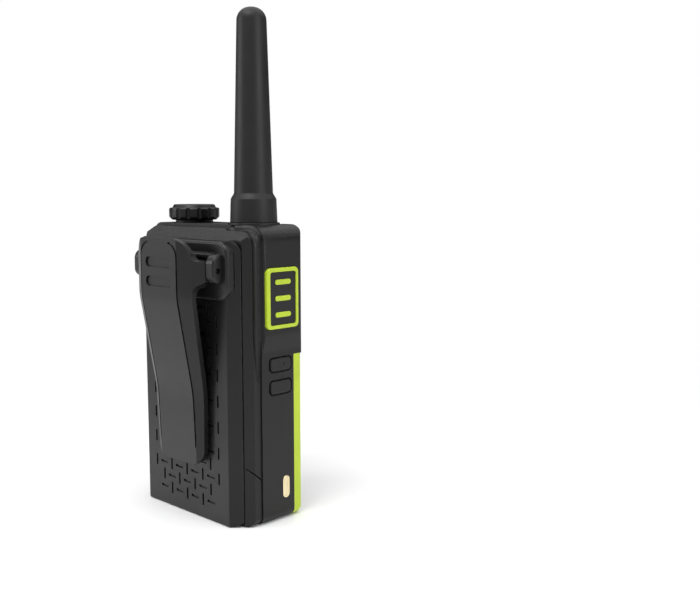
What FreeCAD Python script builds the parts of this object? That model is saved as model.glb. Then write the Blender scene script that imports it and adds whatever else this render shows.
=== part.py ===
import FreeCAD, Part
import math
import os

# Compact two-way radio, millimetres.
# Frame: +Z up, the radio stands on Z = 0, X = 0 is the middle of its width and
# Y = 0 the middle of the body's depth.  -Y is the speaker face, +Y the belt
# clip side, -X the push-to-talk side, +X the socket side.

# ---------------------------------------------------------------- body sizes
BODY_WIDTH = 59.0
BODY_DEPTH = 28.0
BODY_HEIGHT = 100.0
WALL = 1.8
FIT_GAP = 0.25            # all round between a window and what moves in it
SEAM_GAP = 0.3            # open line between the battery cover and the frame
CORNER_TOP = 5.0          # corner radii seen from the front or the back
CORNER_BOTTOM = 3.0

PARTING_DEPTH = 9.0       # parting line of the two housings, behind the back face
REAR_SIDE_STEP = 0.5      # the rear frame is narrower than the front housing
REAR_TOP_STEP = 1.2       # and lower
REAR_CORNER_CUT = 3.5     # slanted top corners of the rear frame
REAR_CHAMFER = 6.2        # slant along the rear vertical edges
TOP_CHAMFER = 3.4         # slant along the rear top edge

TRIM_DEPTH = 4.8          # front part of the body that carries the trim ring
TRIM_LAND = 2.2           # width of the ring seen from the front
PANEL_PROUD = 0.6         # the speaker panel stands in front of the ring
TRIM_EDGE = 2.0           # rounding of the ring's front edge
VALLEY_RADIUS = 2.2       # channel between the island and the rear frame
VALLEY_DEPTH = 1.0
VALLEY_BEHIND = 1.4       # its middle behind the parting line
VALLEY_BEND = 7.0
VALLEY_START_UP = 4.0
VALLEY_TAIL = 14.0
GUARD_THICK = 1.4         # housing wall that hides the ring along the sides
GUARD_TOP = 8.0           # ring left open at the corners, below the top
GUARD_BOTTOM = 7.0        # and above the bottom

# ------------------------------------------------------------ battery cover
COVER_DEPTH = 3.7
COVER_WALL = 1.6
COVER_BOTTOM = 0.4
COVER_CORNER = 5.0
RIM_DEPTH = 1.6
RIM_WALL = 1.2
RIM_GAP = 0.35
WEAVE_PITCH = 4.4         # squares of the woven groove pattern
WEAVE_COLUMNS = 9
WEAVE_FIRST_Z = 6.7
WEAVE_LENGTH = 4.2
WEAVE_WIDTH = 0.9
WEAVE_DEPTH = 0.5

# ------------------------------------------------------------ battery bay
CELL_DIAMETER = 10.5
CELL_LENGTH = 44.5
CELL_COUNT = 4
CELL_PITCH = 11.3
CELL_GAP = 0.4
CELL_BASE_Z = 13.5
BAY_END_SPACE = 4.0       # room for the contacts above and below the cells
BAY_WALL = 1.4
CONTACT_THICK = 0.4

# ------------------------------------------------------------ top controls
CONTROL_SPREAD = 32.8     # antenna axis to knob axis
CONTROL_SETBACK = 3.6     # axes in front of the body's middle
KNOB_RADIUS = 9.0
KNOB_BASE_GAP = 0.9
KNOB_BAND = 4.3
KNOB_DISC_RADIUS = 7.8
KNOB_DISC_HEIGHT = 1.2
KNOB_FLUTES = 14
KNOB_FLUTE_RADIUS = 0.9
KNOB_NECK_RADIUS = 6.7
SHAFT_RADIUS = 3.0
BUSH_RADIUS = 3.5
BUSH_CLEARANCE = 0.05
POT_RADIUS = 5.5
POT_HEIGHT = 6.5
NUT_ACROSS = 10.0
NUT_HEIGHT = 1.8

ANTENNA_FLANGE_RADIUS = 8.8
ANTENNA_FLANGE_HEIGHT = 0.6
COLLAR_RADIUS_LOW = 8.0
COLLAR_RADIUS_HIGH = 7.7
COLLAR_HEIGHT = 7.9
SHOULDER_HEIGHT = 1.9
WHIP_RADIUS_LOW = 6.55
WHIP_RADIUS_HIGH = 4.85
ANTENNA_HEIGHT = 71.3     # above the body's top
STUD_RADIUS = 3.0
STUD_LENGTH = 11.0

# ------------------------------------------------------------ push-to-talk
ISLAND_PROUD = 0.8
ISLAND_BOTTOM_Z = 58.5
ISLAND_RAMP = 5.5
ISLAND_REAR_INSET = 0.6
PTT_WIDTH = 14.0
PTT_LENGTH = 20.2
PTT_CENTRE_Y = -3.3
PTT_TOP_BELOW = 13.8      # top of the button below the body's top
PTT_PROUD = 0.9
PTT_CORNER = 1.6
PTT_RIM = 1.3
PTT_TRAVEL = 1.2
PTT_FLANGE = 0.7
PTT_LIP = 0.6             # inner lip above and below the button
BAR_COUNT = 3
BAR_PITCH = 5.4
BAR_LENGTH = 6.8
BAR_HEIGHT = 1.7
BAR_PROUD = 0.25

# ------------------------------------------------------------ side keys
KEY_WIDTH = 9.0
KEY_HEIGHT = 4.2
KEY_CENTRE_Y = -3.2
KEY_UPPER_Z = 53.8
KEY_PITCH = 7.7
KEY_PROUD = 0.5
KEY_CORNER = 1.2
KEY_WELL = 0.65           # groove all round a key
KEY_WELL_DEPTH = 0.7
KEY_TRAVEL = 0.7
KEY_FLANGE = 0.8
SWITCH_GAP = 0.1          # between a pressed key's stop and its switch
SWITCH_PLUNGER = 1.0
SWITCH_DEPTH = 3.4
SWITCH_HEIGHT = 5.2
SWITCH_WIDTH = 5.4

# ------------------------------------------------------------ socket cover
FLAP_WIDTH = 10.2
FLAP_CENTRE_Y = -4.7
FLAP_BOTTOM_Z = 45.0
FLAP_LENGTH = 39.7
FLAP_HINGE_UP = 9.0       # hinge line above the lower end
FLAP_THICK = 1.8
FLAP_PROUD = 0.35
FLAP_GAP = 0.2
HINGE_BEAD = 0.65         # round bead on the cover's hinge line
HINGE_PLAY = 0.05
HINGE_OPENING = 1.3       # half of the fold groove at the outer face
NAIL_RECESS = 3.4
JACK_UP = 32.0            # sockets above the lower end of the cover
SOCKET_UP = 17.5
JACK_RADIUS = 3.0
JACK_BORE = 1.8
SOCKET_WIDTH = 3.4
SOCKET_HEIGHT = 9.0
SOCKET_DEPTH = 6.0
JACK_COLLAR = 3.3
PLUG_DEPTH = 0.9
PLUG_GAP = 0.4

# ------------------------------------------------------------ side contacts
PILL_WIDTH = 3.0
PILL_HEIGHT = 7.8
PILL_CENTRE_Y = -5.5
PILL_CENTRE_Z = 11.2
PILL_PROUD = 0.15

# ------------------------------------------------------------ belt clip
MOUNT_HALF_WIDTH = 24.8
MOUNT_HEIGHT = 19.2
MOUNT_TOP_BELOW_COVER = 0.4
MOUNT_RAISE = 1.2
MOUNT_CORNER_LOW = 5.0
MOUNT_CORNER_HIGH = 4.6
LUG_THICK = 3.5
LUG_OUTER_X = 22.2
LUG_BELOW = 4.1           # lug below and above the pin
LUG_ABOVE = 4.9
LUG_REACH = 2.0           # lug behind the pin
RIDGE_UP = 3.9            # cross bar of the mount above the pin
RIDGE_THICK = 2.6
RIDGE_RAISE = 2.0
PIN_RADIUS = 1.0
PIN_BEHIND_BACK = 2.7
PIN_BELOW_TOP = 14.3
PIN_CLEARANCE = 0.07
PIN_SET_BACK = 0.9        # pin ends inside the lugs' outer faces
EAR_GAP = 0.35
EAR_THICK = 3.0
EAR_RADIUS = 2.1
EAR_ROOM = 0.4            # round channel in the mount, larger than the ears
LEVER_PANEL_HALF = 9.9    # flat panel of the lever, half across
LEVER_TOP_HALF = 14.7     # whole lever, half across, at the top and at the tip
LEVER_TIP_HALF = 12.5
LEVER_BAND_DROP = 2.3     # fall of the slanted side bands
LEVER_TIP_ROUND = 5.5
LEVER_TOP_ROUND = 7.5
CREASE_WIDTH = 0.7        # groove between the panel and the bands
CREASE_DEPTH = 0.45
WING_LOW = 4.1            # wing edges below and above the pin
WING_HIGH = 2.9
WING_BLEND_LOW = 5.0
WING_BLEND_HIGH = 2.5
WING_FALL = 5.0           # the wing's outer end lies this far inside the panel
LEVER_ABOVE_PIN = 10.3
LEVER_BELOW_PIN = 66.3
LEVER_BEHIND_BACK = 10.0
LEVER_KNEE_BEHIND_BACK = 4.2
LEVER_FOOT_BEHIND_BACK = 3.3
LEVER_SHEET = 1.7
LEVER_BEND_BELOW = 9.5
LEVER_TIP_GAP = 0.7
TIP_BEAD_UP = 4.5         # bead inside the tip that bears on the cover
TIP_BEAD_RADIUS = 1.1
TIP_BEAD_HALF = 7.0
SLOT_LENGTH = 14.4
SLOT_HEIGHT = 3.5
SLOT_DEPTH = 0.6
SLOT_PITCH = 6.4
SLOT_UPPER_BELOW_TOP = 8.2
SPRING_WIRE = 0.6
SPRING_PLAY = 0.25
SPRING_LENGTH = 11.0
SPRING_LEG_LOW = 5.6      # ends of the legs below the pin, on the mount,
SPRING_LEG_HIGH = 6.5     # and above it, on the lever

# ------------------------------------------------------------ electronics
BOARD_THICK = 1.2
BOARD_Y = -6.0
BOARD_MARGIN = 2.2
BOARD_NOTCH_GAP = 0.3
BOARD_POST_RADIUS = 1.8
BOARD_POST_INSET = 3.6
SPEAKER_RADIUS = 18.0
SPEAKER_DEPTH = 4.2
SPEAKER_Z = 54.0
SLIT_COUNT = 7
SLIT_WIDTH = 1.4
SLIT_PITCH = 3.6
MIC_RADIUS = 2.0
MIC_Z = 18.0
MIC_X = -12.0
LED_RADIUS = 1.3
LED_Z = 90.0
SCREW_RADIUS = 1.1
SCREW_HEAD_RADIUS = 1.9
SCREW_POST_RADIUS = 2.4
SCREW_LENGTH = 8.0
SCREW_INSET_X = 3.0
SCREW_LOW_Z = 5.4
SCREW_HIGH_BELOW = 8.3
POST_FRONT_Y = 1.4        # front end of the screw posts
SEAL_DEPTH = 0.8

# ------------------------------------------------------------ worked out
HALF_W = BODY_WIDTH / 2
HALF_D = BODY_DEPTH / 2
BACK_Y = HALF_D
FRONT_Y = -HALF_D
PARTING_Y = BACK_Y - PARTING_DEPTH
REAR_HALF_W = HALF_W - REAR_SIDE_STEP
REAR_TOP_Z = BODY_HEIGHT - REAR_TOP_STEP
SEAM_Y = BACK_Y - COVER_DEPTH
COVER_FLAT_HALF = REAR_HALF_W - REAR_CHAMFER
COVER_HALF_W = COVER_FLAT_HALF + COVER_DEPTH
COVER_TOP_Z = REAR_TOP_Z - TOP_CHAMFER
TRIM_FRONT_Y = FRONT_Y + PANEL_PROUD
TRIM_BACK_Y = FRONT_Y + TRIM_DEPTH
CONTROL_Y = -CONTROL_SETBACK
KNOB_X = CONTROL_SPREAD / 2
ANTENNA_X = -CONTROL_SPREAD / 2
ISLAND_X = -(HALF_W + ISLAND_PROUD)
PTT_TOP_Z = BODY_HEIGHT - PTT_TOP_BELOW
PTT_CENTRE_Z = PTT_TOP_Z - PTT_LENGTH / 2
PTT_OUTER_X = ISLAND_X - PTT_PROUD
INNER_X = HALF_W - WALL
FLANGE_X = -(INNER_X - PTT_FLANGE)
KEY_OUTER_X = -(HALF_W + KEY_PROUD)
KEY_FACE_X = -INNER_X + KEY_FLANGE + KEY_TRAVEL + SWITCH_GAP
FLAP_TOP_Z = FLAP_BOTTOM_Z + FLAP_LENGTH
FLAP_HINGE_Z = FLAP_BOTTOM_Z + FLAP_HINGE_UP
FLAP_OUTER_X = HALF_W + FLAP_PROUD
FLAP_FLOOR_X = FLAP_OUTER_X - FLAP_THICK
FLAP_HINGE_X = FLAP_FLOOR_X + HINGE_BEAD + HINGE_PLAY
JACK_FRONT_X = FLAP_FLOOR_X - 0.1
JACK_Z = FLAP_BOTTOM_Z + JACK_UP
SOCKET_Z = FLAP_BOTTOM_Z + SOCKET_UP
MOUNT_TOP_Z = COVER_TOP_Z - MOUNT_TOP_BELOW_COVER
MOUNT_BOTTOM_Z = MOUNT_TOP_Z - MOUNT_HEIGHT
MOUNT_FACE_Y = BACK_Y + MOUNT_RAISE
MOUNT_ROOT_Y = BACK_Y - COVER_WALL
PIN_Y = BACK_Y + PIN_BEHIND_BACK
PIN_Z = BODY_HEIGHT - PIN_BELOW_TOP
LUG_INNER_X = LUG_OUTER_X - LUG_THICK
EAR_OUTER_X = LUG_INNER_X - EAR_GAP
EAR_INNER_X = EAR_OUTER_X - EAR_THICK
LEVER_OUTER_Y = BACK_Y + LEVER_BEHIND_BACK
LEVER_KNEE_Y = BACK_Y + LEVER_KNEE_BEHIND_BACK
LEVER_FOOT_Y = BACK_Y + LEVER_FOOT_BEHIND_BACK
LEVER_TOP_Z = PIN_Z + LEVER_ABOVE_PIN
LEVER_TIP_Z = PIN_Z - LEVER_BELOW_PIN
BAY_HALF_W = (CELL_PITCH * (CELL_COUNT - 1) + CELL_DIAMETER) / 2 + CELL_GAP
BAY_LOW_Z = CELL_BASE_Z - BAY_END_SPACE
BAY_HIGH_Z = CELL_BASE_Z + CELL_LENGTH + BAY_END_SPACE
CELL_Y = BACK_Y - COVER_WALL - CELL_GAP - CELL_DIAMETER / 2
BAY_FLOOR_Y = CELL_Y - CELL_DIAMETER / 2 - CELL_GAP
BOARD_HIGH_Z = BODY_HEIGHT - WALL - POT_HEIGHT - 4.0
BOARD_LOW_Z = WALL + BOARD_MARGIN
BOARD_HALF_W = INNER_X - BOARD_MARGIN


# ================================================================ helpers
def vec(x, y, z):
    """Return a FreeCAD vector."""
    return FreeCAD.Vector(x, y, z)


def box(x0, x1, y0, y1, z0, z1):
    """Return a box between two opposite corners."""
    return Part.makeBox(x1 - x0, y1 - y0, z1 - z0, vec(x0, y0, z0))


def rod(radius, start, end):
    """Return a cylinder from one point to another."""
    axis = end - start
    return Part.makeCylinder(radius, axis.Length, start, axis)


def rod_x(radius, x0, x1, y, z):
    """Return a cylinder along X."""
    return rod(radius, vec(x0, y, z), vec(x1, y, z))


def rod_y(radius, y0, y1, x, z):
    """Return a cylinder along Y."""
    return rod(radius, vec(x, y0, z), vec(x, y1, z))


def rod_z(radius, z0, z1, x, y):
    """Return a cylinder along Z."""
    return rod(radius, vec(x, y, z0), vec(x, y, z1))


def fuse_all(shapes):
    """Return the union of a list of shapes, with its flat faces merged."""
    first = shapes[0]
    return first.multiFuse(shapes[1:]).removeSplitter() if len(shapes) > 1 else first


def on_plane(plane, u, v, level):
    """Return the point (u, v) of plane xy, xz or yz, at the given level."""
    if plane == "xy":
        return vec(u, v, level)
    if plane == "xz":
        return vec(u, level, v)
    return vec(level, u, v)


def rounded_wire(plane, level, corners):
    """Return a closed wire through corners (u, v, radius), each one rounded."""
    count = len(corners)
    joints = []
    for i, (u, v, radius) in enumerate(corners):
        corner = vec(u, v, 0)
        before = vec(corners[i - 1][0], corners[i - 1][1], 0) - corner
        after = vec(corners[(i + 1) % count][0], corners[(i + 1) % count][1], 0) - corner
        half_angle = before.getAngle(after) / 2
        before.normalize()
        after.normalize()
        if radius == 0 or half_angle > math.pi / 2 - 1e-4:
            joints.append((corner, corner, corner))
            continue
        reach = radius / math.tan(half_angle)
        middle = before + after
        middle.normalize()
        depth = radius / math.sin(half_angle) - radius
        joints.append((corner + before * reach, corner + middle * depth, corner + after * reach))
    edges = []
    for i, (start, middle, end) in enumerate(joints):
        points = [on_plane(plane, p.x, p.y, level) for p in (start, middle, end)]
        if (start - end).Length > 1e-6:
            edges.append(Part.Arc(*points).toShape())
        following = joints[(i + 1) % count][0]
        if (following - end).Length > 1e-6:
            target = on_plane(plane, following.x, following.y, level)
            edges.append(Part.makeLine(points[2], target))
    return Part.Wire(edges)


def prism(plane, corners, low, high):
    """Return the outline of corners, rounded, extruded from low to high."""
    face = Part.Face(rounded_wire(plane, low, corners))
    return face.extrude(on_plane(plane, 0, 0, high - low))


def rectangle(u0, u1, v0, v1, radius_low=0.0, radius_high=None):
    """Return the corners of a rectangle, rounded at its low and high ends."""
    if radius_high is None:
        radius_high = radius_low
    return [(u0, v0, radius_low), (u1, v0, radius_low), (u1, v1, radius_high), (u0, v1, radius_high)]


def centred(u, v, width, height, radius):
    """Return the corners of a rounded rectangle about a centre."""
    return rectangle(u - width / 2, u + width / 2, v - height / 2, v + height / 2, radius)


def turned(profile, x, y):
    """Return the solid of (radius, z, rounding) corners turned about a vertical axis."""
    face = Part.Face(rounded_wire("xz", 0, profile))
    solid = face.revolve(vec(0, 0, 0), vec(0, 0, 1), 360)
    solid.translate(vec(x, y, 0))
    return solid


def edges_where(shape, test):
    """Return the edges of a shape whose centre of mass passes a test."""
    return [edge for edge in shape.Edges if test(edge.CenterOfMass)]


def near(a, b):
    """Return True when two lengths agree within a hundredth."""
    return abs(a - b) < 0.01


def body_outline(inset, corner_top=CORNER_TOP, corner_bottom=CORNER_BOTTOM, top=BODY_HEIGHT):
    """Return the body's outline seen from the front, set in by a distance."""
    half = HALF_W - inset
    low = max(corner_bottom - inset, 0.4)
    high = max(corner_top - inset, 0.4)
    return rectangle(-half, half, inset, top - inset, low, high)


# ================================================================ housings
def ptt_island():
    """Return the raised land that carries the push-to-talk button."""
    inner = -(HALF_W - GUARD_THICK)
    top = BODY_HEIGHT
    corners = [
        (inner, ISLAND_BOTTOM_Z - 2, 0),
        (-HALF_W, ISLAND_BOTTOM_Z - 2, 0),
        (-HALF_W, ISLAND_BOTTOM_Z, 8.0),
        (ISLAND_X, ISLAND_BOTTOM_Z + ISLAND_RAMP, 8.0),
        (ISLAND_X, top, CORNER_TOP + ISLAND_PROUD),
        (ISLAND_X + 2 * CORNER_TOP, top, 0),
        (ISLAND_X + 2 * CORNER_TOP, top - GUARD_THICK, 0),
        (inner, top - CORNER_TOP, 0),
    ]
    rear_y = PARTING_Y - ISLAND_REAR_INSET
    plan = [(ISLAND_X, TRIM_FRONT_Y, 2.4), (0, TRIM_FRONT_Y, 0), (0, rear_y, 0), (ISLAND_X, rear_y, 1.2)]
    return prism("xz", corners, TRIM_FRONT_Y, rear_y).common(prism("xy", plan, 0, top))


def side_guard():
    """Return the wall on the socket side that hides the trim ring."""
    corners = rectangle(TRIM_FRONT_Y, TRIM_BACK_Y, GUARD_BOTTOM, BODY_HEIGHT - GUARD_TOP, 1.0)
    plan = [
        (HALF_W, TRIM_FRONT_Y, GUARD_THICK), (HALF_W, TRIM_BACK_Y, 0),
        (0, TRIM_BACK_Y, 0), (0, TRIM_FRONT_Y, 0),
    ]
    guard = prism("yz", corners, HALF_W - GUARD_THICK, HALF_W)
    return guard.common(prism("xy", plan, 0, BODY_HEIGHT))


def top_guard():
    """Return the part of the top that covers the trim ring."""
    reach = HALF_W - CORNER_TOP
    return box(-reach, reach, TRIM_FRONT_Y + TRIM_EDGE, TRIM_BACK_Y, BODY_HEIGHT - GUARD_THICK, BODY_HEIGHT)


def front_neck(inset, y0, y1):
    """Return the block inside the trim ring."""
    return prism("xz", body_outline(inset), y0, y1)


def valley():
    """Return the rounded channel between the island and the rear frame."""
    out = VALLEY_RADIUS - VALLEY_DEPTH
    y = PARTING_Y + VALLEY_BEHIND
    x_side = -(REAR_HALF_W + out)
    z_top = REAR_TOP_Z + out
    bend = VALLEY_BEND
    start = vec(x_side, y, ISLAND_BOTTOM_Z + VALLEY_START_UP)
    finish = vec(ANTENNA_X, y, z_top)
    centre = vec(x_side + bend, y, z_top - bend)
    corner = Part.makeTorus(bend, VALLEY_RADIUS, centre, vec(0, 1, 0))
    far = bend + VALLEY_RADIUS + 1
    corner = corner.common(box(centre.x - far, centre.x, y - far, y + far, centre.z, centre.z + far))
    side = rod(VALLEY_RADIUS, start, vec(x_side, y, centre.z))
    top = rod(VALLEY_RADIUS, vec(centre.x, y, z_top), finish)
    taper = vec(out / VALLEY_TAIL, 0, -1)
    tail = Part.makeCone(VALLEY_RADIUS, VALLEY_RADIUS * 0.15, VALLEY_TAIL, start, taper)
    return side.multiFuse([corner, top, tail, Part.makeSphere(VALLEY_RADIUS, finish)])


def window(y, z, width, height, radius, x0, x1):
    """Return a rounded window through a side wall."""
    return prism("yz", centred(y, z, width, height, radius), x0, x1)


def ptt_well():
    """Return the window of the push-to-talk button and the room for its lip."""
    room = 2 * FIT_GAP
    travel_x = FLANGE_X + PTT_TRAVEL + FIT_GAP
    through = window(PTT_CENTRE_Y, PTT_CENTRE_Z, PTT_WIDTH + room, PTT_LENGTH + room, PTT_CORNER + FIT_GAP,
                     ISLAND_X - 1, travel_x)
    lip = window(PTT_CENTRE_Y, PTT_CENTRE_Z, PTT_WIDTH + room, PTT_LENGTH + 2 * PTT_LIP + room,
                 PTT_CORNER + FIT_GAP, -INNER_X, travel_x)
    return through.fuse(lip)


def key_centres():
    """Return the heights of the two side keys."""
    return [KEY_UPPER_Z, KEY_UPPER_Z - KEY_PITCH]


def flap_outline(gap, low, high):
    """Return the outline of the socket cover between two heights, grown by a gap."""
    half = FLAP_WIDTH / 2 + gap
    round_low = half if near(low, FLAP_BOTTOM_Z) else 0.3
    round_high = half if near(high, FLAP_TOP_Z) else 0.3
    y0 = FLAP_CENTRE_Y - half
    y1 = FLAP_CENTRE_Y + half
    return rectangle(y0, y1, low - gap, high + gap, round_low * 0.98, round_high * 0.98)


def flap_pocket():
    """Return the pocket for the socket cover, with its fingernail recess."""
    pocket = prism("yz", flap_outline(FLAP_GAP, FLAP_BOTTOM_Z, FLAP_TOP_Z), FLAP_FLOOR_X, HALF_W + 1)
    nail = window(FLAP_CENTRE_Y, FLAP_TOP_Z, FLAP_WIDTH * 0.74, 2 * NAIL_RECESS, 2.4,
                  FLAP_FLOOR_X + 0.3, HALF_W + 1)
    ribs = []
    for z in (FLAP_TOP_Z + 0.9, FLAP_TOP_Z + 2.0):
        ribs.append(box(FLAP_FLOOR_X, FLAP_FLOOR_X + 0.75, FLAP_CENTRE_Y - FLAP_WIDTH / 2,
                        FLAP_CENTRE_Y + FLAP_WIDTH / 2, z, z + 0.5))
    return pocket.fuse(nail.cut(Part.makeCompound(ribs)))


def flap_pad():
    """Return the thick part of the side wall behind the socket cover."""
    return prism("yz", flap_outline(WALL, FLAP_BOTTOM_Z, FLAP_TOP_Z), FLAP_FLOOR_X - WALL * 0.7, HALF_W)


def side_sockets_holes():
    """Return the holes behind the socket cover, for the two sockets."""
    jack = rod_x(JACK_RADIUS + 0.1, INNER_X - 6, HALF_W, FLAP_CENTRE_Y, JACK_Z)
    socket = window(FLAP_CENTRE_Y, SOCKET_Z, SOCKET_WIDTH + 0.2, SOCKET_HEIGHT + 0.2, 1.2,
                    INNER_X - 6, HALF_W)
    return jack.fuse(socket)


def front_housing():
    """Front housing: side walls, top deck, island, socket recess and front wall."""
    outer = prism("xz", body_outline(0), TRIM_BACK_Y, PARTING_Y)
    neck = front_neck(TRIM_LAND, TRIM_FRONT_Y + WALL * 0.5, TRIM_BACK_Y)
    solid = fuse_all([outer, ptt_island(), side_guard(), top_guard(), neck])
    cavity = prism("xz", body_outline(WALL), TRIM_BACK_Y, PARTING_Y + 1)
    neck_cavity = front_neck(TRIM_LAND + WALL, TRIM_FRONT_Y + WALL * 1.5, TRIM_BACK_Y)
    panel_seat = front_neck(TRIM_LAND, FRONT_Y - 1, TRIM_FRONT_Y + WALL * 0.5)
    cuts = [cavity, neck_cavity, panel_seat, valley(), flap_pocket(), side_sockets_holes()]
    cuts.append(ptt_well())
    for z in key_centres():
        well = 2 * KEY_WELL
        gap = 2 * FIT_GAP
        cuts.append(window(KEY_CENTRE_Y, z, KEY_WIDTH + well, KEY_HEIGHT + well, KEY_CORNER + KEY_WELL,
                           -HALF_W - 1, -HALF_W + KEY_WELL_DEPTH))
        cuts.append(window(KEY_CENTRE_Y, z, KEY_WIDTH + gap, KEY_HEIGHT + gap, KEY_CORNER + FIT_GAP,
                           -HALF_W - 1, -INNER_X + 1))
    for side in (-1, 1):
        reach = sorted((side * (HALF_W + 1), side * (INNER_X - 1)))
        cuts.append(window(PILL_CENTRE_Y, PILL_CENTRE_Z, PILL_WIDTH, PILL_HEIGHT, PILL_WIDTH * 0.49, *reach))
    deck = BODY_HEIGHT - WALL - 1
    cuts.append(rod_z(BUSH_RADIUS, deck, BODY_HEIGHT + 1, KNOB_X, CONTROL_Y))
    cuts.append(rod_z(STUD_RADIUS, deck, BODY_HEIGHT + 1, ANTENNA_X, CONTROL_Y))
    cuts.append(grille_slits(TRIM_FRONT_Y - 1, BOARD_Y - 1))
    cuts.append(rod_y(0.8, FRONT_Y, BOARD_Y, MIC_X, MIC_Z))
    cuts.append(rod_y(LED_RADIUS, FRONT_Y, BOARD_Y, 0, LED_Z))
    shell = solid.cut(cuts[:2]).multiFuse([flap_pad()] + front_posts() + board_posts())
    shell = shell.cut(cuts[2:])
    return shell.cut(screw_set(0.0)).removeSplitter()


def rear_outer():
    """Return the outer block of the rear frame with its mitred slants."""
    reach = REAR_CHAMFER - COVER_DEPTH
    plan = [
        (-REAR_HALF_W, PARTING_Y, 0), (REAR_HALF_W, PARTING_Y, 0), (REAR_HALF_W, SEAM_Y - reach, 0),
        (COVER_HALF_W, SEAM_Y, 0), (-COVER_HALF_W, SEAM_Y, 0), (-REAR_HALF_W, SEAM_Y - reach, 0),
    ]
    side = [
        (PARTING_Y, 0, 0), (SEAM_Y - 0.8, 0, 0), (SEAM_Y, 0.8, 0), (SEAM_Y, COVER_TOP_Z, 0),
        (SEAM_Y - TOP_CHAMFER, REAR_TOP_Z, 0), (PARTING_Y, REAR_TOP_Z, 0),
    ]
    cut = REAR_CORNER_CUT
    elevation = [
        (-REAR_HALF_W, 0, CORNER_BOTTOM), (REAR_HALF_W, 0, CORNER_BOTTOM),
        (REAR_HALF_W, REAR_TOP_Z - cut, 1.0),
        (REAR_HALF_W - cut, REAR_TOP_Z, 1.0), (-REAR_HALF_W + cut, REAR_TOP_Z, 1.0),
        (-REAR_HALF_W, REAR_TOP_Z - cut, 1.0),
    ]
    block = prism("xy", plan, 0, REAR_TOP_Z)
    block = block.common(prism("yz", side, -REAR_HALF_W, REAR_HALF_W))
    return block.common(prism("xz", elevation, PARTING_Y, SEAM_Y))


def slant_line(side):
    """Return the fine slanted groove across the rear vertical slant, low down."""
    groove = box(-6, 6, -6, 6, -0.2, 0.2)
    groove.rotate(vec(0, 0, 0), vec(1, 0, 0), 42)
    groove.translate(vec(side * (REAR_HALF_W + 3.6), PARTING_Y + 3.4, 18.6))
    return groove


def rear_frame():
    """Rear frame: slanted surround, rear wall and the open battery bay."""
    wall_y = SEAM_Y - WALL
    inner = REAR_HALF_W - WALL
    inside = rectangle(-inner, inner, WALL, REAR_TOP_Z - WALL - 1.5, 2.0, 3.0)
    hollow = prism("xz", inside, PARTING_Y - 1, wall_y)
    plan_relief = [(-inner, PARTING_Y - 1, 0), (inner, PARTING_Y - 1, 0), (inner, wall_y - 2.4, 0),
                   (inner - 2.4, wall_y, 0), (-inner + 2.4, wall_y, 0), (-inner, wall_y - 2.4, 0)]
    top_relief = [(PARTING_Y - 1, WALL, 0), (wall_y, WALL, 0), (wall_y, COVER_TOP_Z - 1.6, 0),
                  (PARTING_Y + 1, REAR_TOP_Z - WALL - 0.4, 0), (PARTING_Y - 1, REAR_TOP_Z - WALL - 0.4, 0)]
    hollow = hollow.common(prism("xy", plan_relief, 0, BODY_HEIGHT))
    hollow = hollow.common(prism("yz", top_relief, -inner, inner))
    tub_out = box(-BAY_HALF_W - BAY_WALL, BAY_HALF_W + BAY_WALL, BAY_FLOOR_Y - BAY_WALL, wall_y + 0.5,
                  BAY_LOW_Z - BAY_WALL, BAY_HIGH_Z + BAY_WALL)
    tub_in = box(-BAY_HALF_W, BAY_HALF_W, BAY_FLOOR_Y, SEAM_Y + 1, BAY_LOW_Z, BAY_HIGH_Z)
    solid = rear_outer().cut(hollow).multiFuse([tub_out] + rear_posts()).cut(tub_in)
    solid = solid.cut([valley(), slant_line(-1), slant_line(1)])
    return solid.cut(screw_set(0.0)).removeSplitter()


def lime_trim():
    """Coloured ring round the speaker panel."""
    ring = prism("xz", body_outline(0), TRIM_FRONT_Y, TRIM_BACK_Y)
    front = edges_where(ring, lambda c: near(c.y, TRIM_FRONT_Y))
    ring = ring.makeFillet(TRIM_EDGE, front)
    ring = ring.cut(front_neck(TRIM_LAND, FRONT_Y - 1, TRIM_BACK_Y))
    return ring.cut([ptt_island(), side_guard(), top_guard(), ptt_well(), flap_pad()]).removeSplitter()


def grille_slits(y0, y1):
    """Return the sound slits in front of the speaker."""
    slits = []
    for i in range(SLIT_COUNT):
        z = SPEAKER_Z + (i - (SLIT_COUNT - 1) / 2) * SLIT_PITCH
        reach = math.sqrt(max((SPEAKER_RADIUS - 3) ** 2 - (z - SPEAKER_Z) ** 2, 9))
        slits.append(prism("xz", centred(0, z, 2 * reach, SLIT_WIDTH, SLIT_WIDTH * 0.49), y0, y1))
    return Part.makeCompound(slits)


def speaker_panel():
    """Plain front panel with sound slits, microphone hole and lamp hole."""
    back = TRIM_FRONT_Y + WALL * 0.5
    plate = front_neck(TRIM_LAND + 0.1, FRONT_Y, back)
    rim = edges_where(plate, lambda c: near(c.y, FRONT_Y))
    plate = plate.makeFillet(min(0.6, (back - FRONT_Y) * 0.45), rim)
    plate = plate.cut(grille_slits(FRONT_Y - 1, back + 1))
    plate = plate.cut(rod_y(0.8, FRONT_Y - 1, back + 1, MIC_X, MIC_Z))
    return plate.cut(rod_y(LED_RADIUS, FRONT_Y - 1, back + 1, 0, LED_Z))


# ================================================================ fasteners
def screw(x, z, gap):
    """Return one housing screw, its head under the battery cover."""
    head_y = SEAM_Y - 0.2
    shank = rod_y(SCREW_RADIUS + gap, head_y - SCREW_LENGTH, head_y - 1, x, z)
    head = rod_y(SCREW_HEAD_RADIUS + gap, head_y - 1.2, head_y, x, z)
    drive = Part.makeBox(1.0, 1.0, 1.0, vec(x - 0.5, head_y - 0.7, z - 0.5))
    return shank.fuse(head).cut(drive) if gap == 0 else shank.fuse(head)


def screw_post(x, z, y0, y1):
    """Return one round post that a housing screw runs through."""
    return rod_y(SCREW_POST_RADIUS, y0, y1, x, z)


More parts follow.
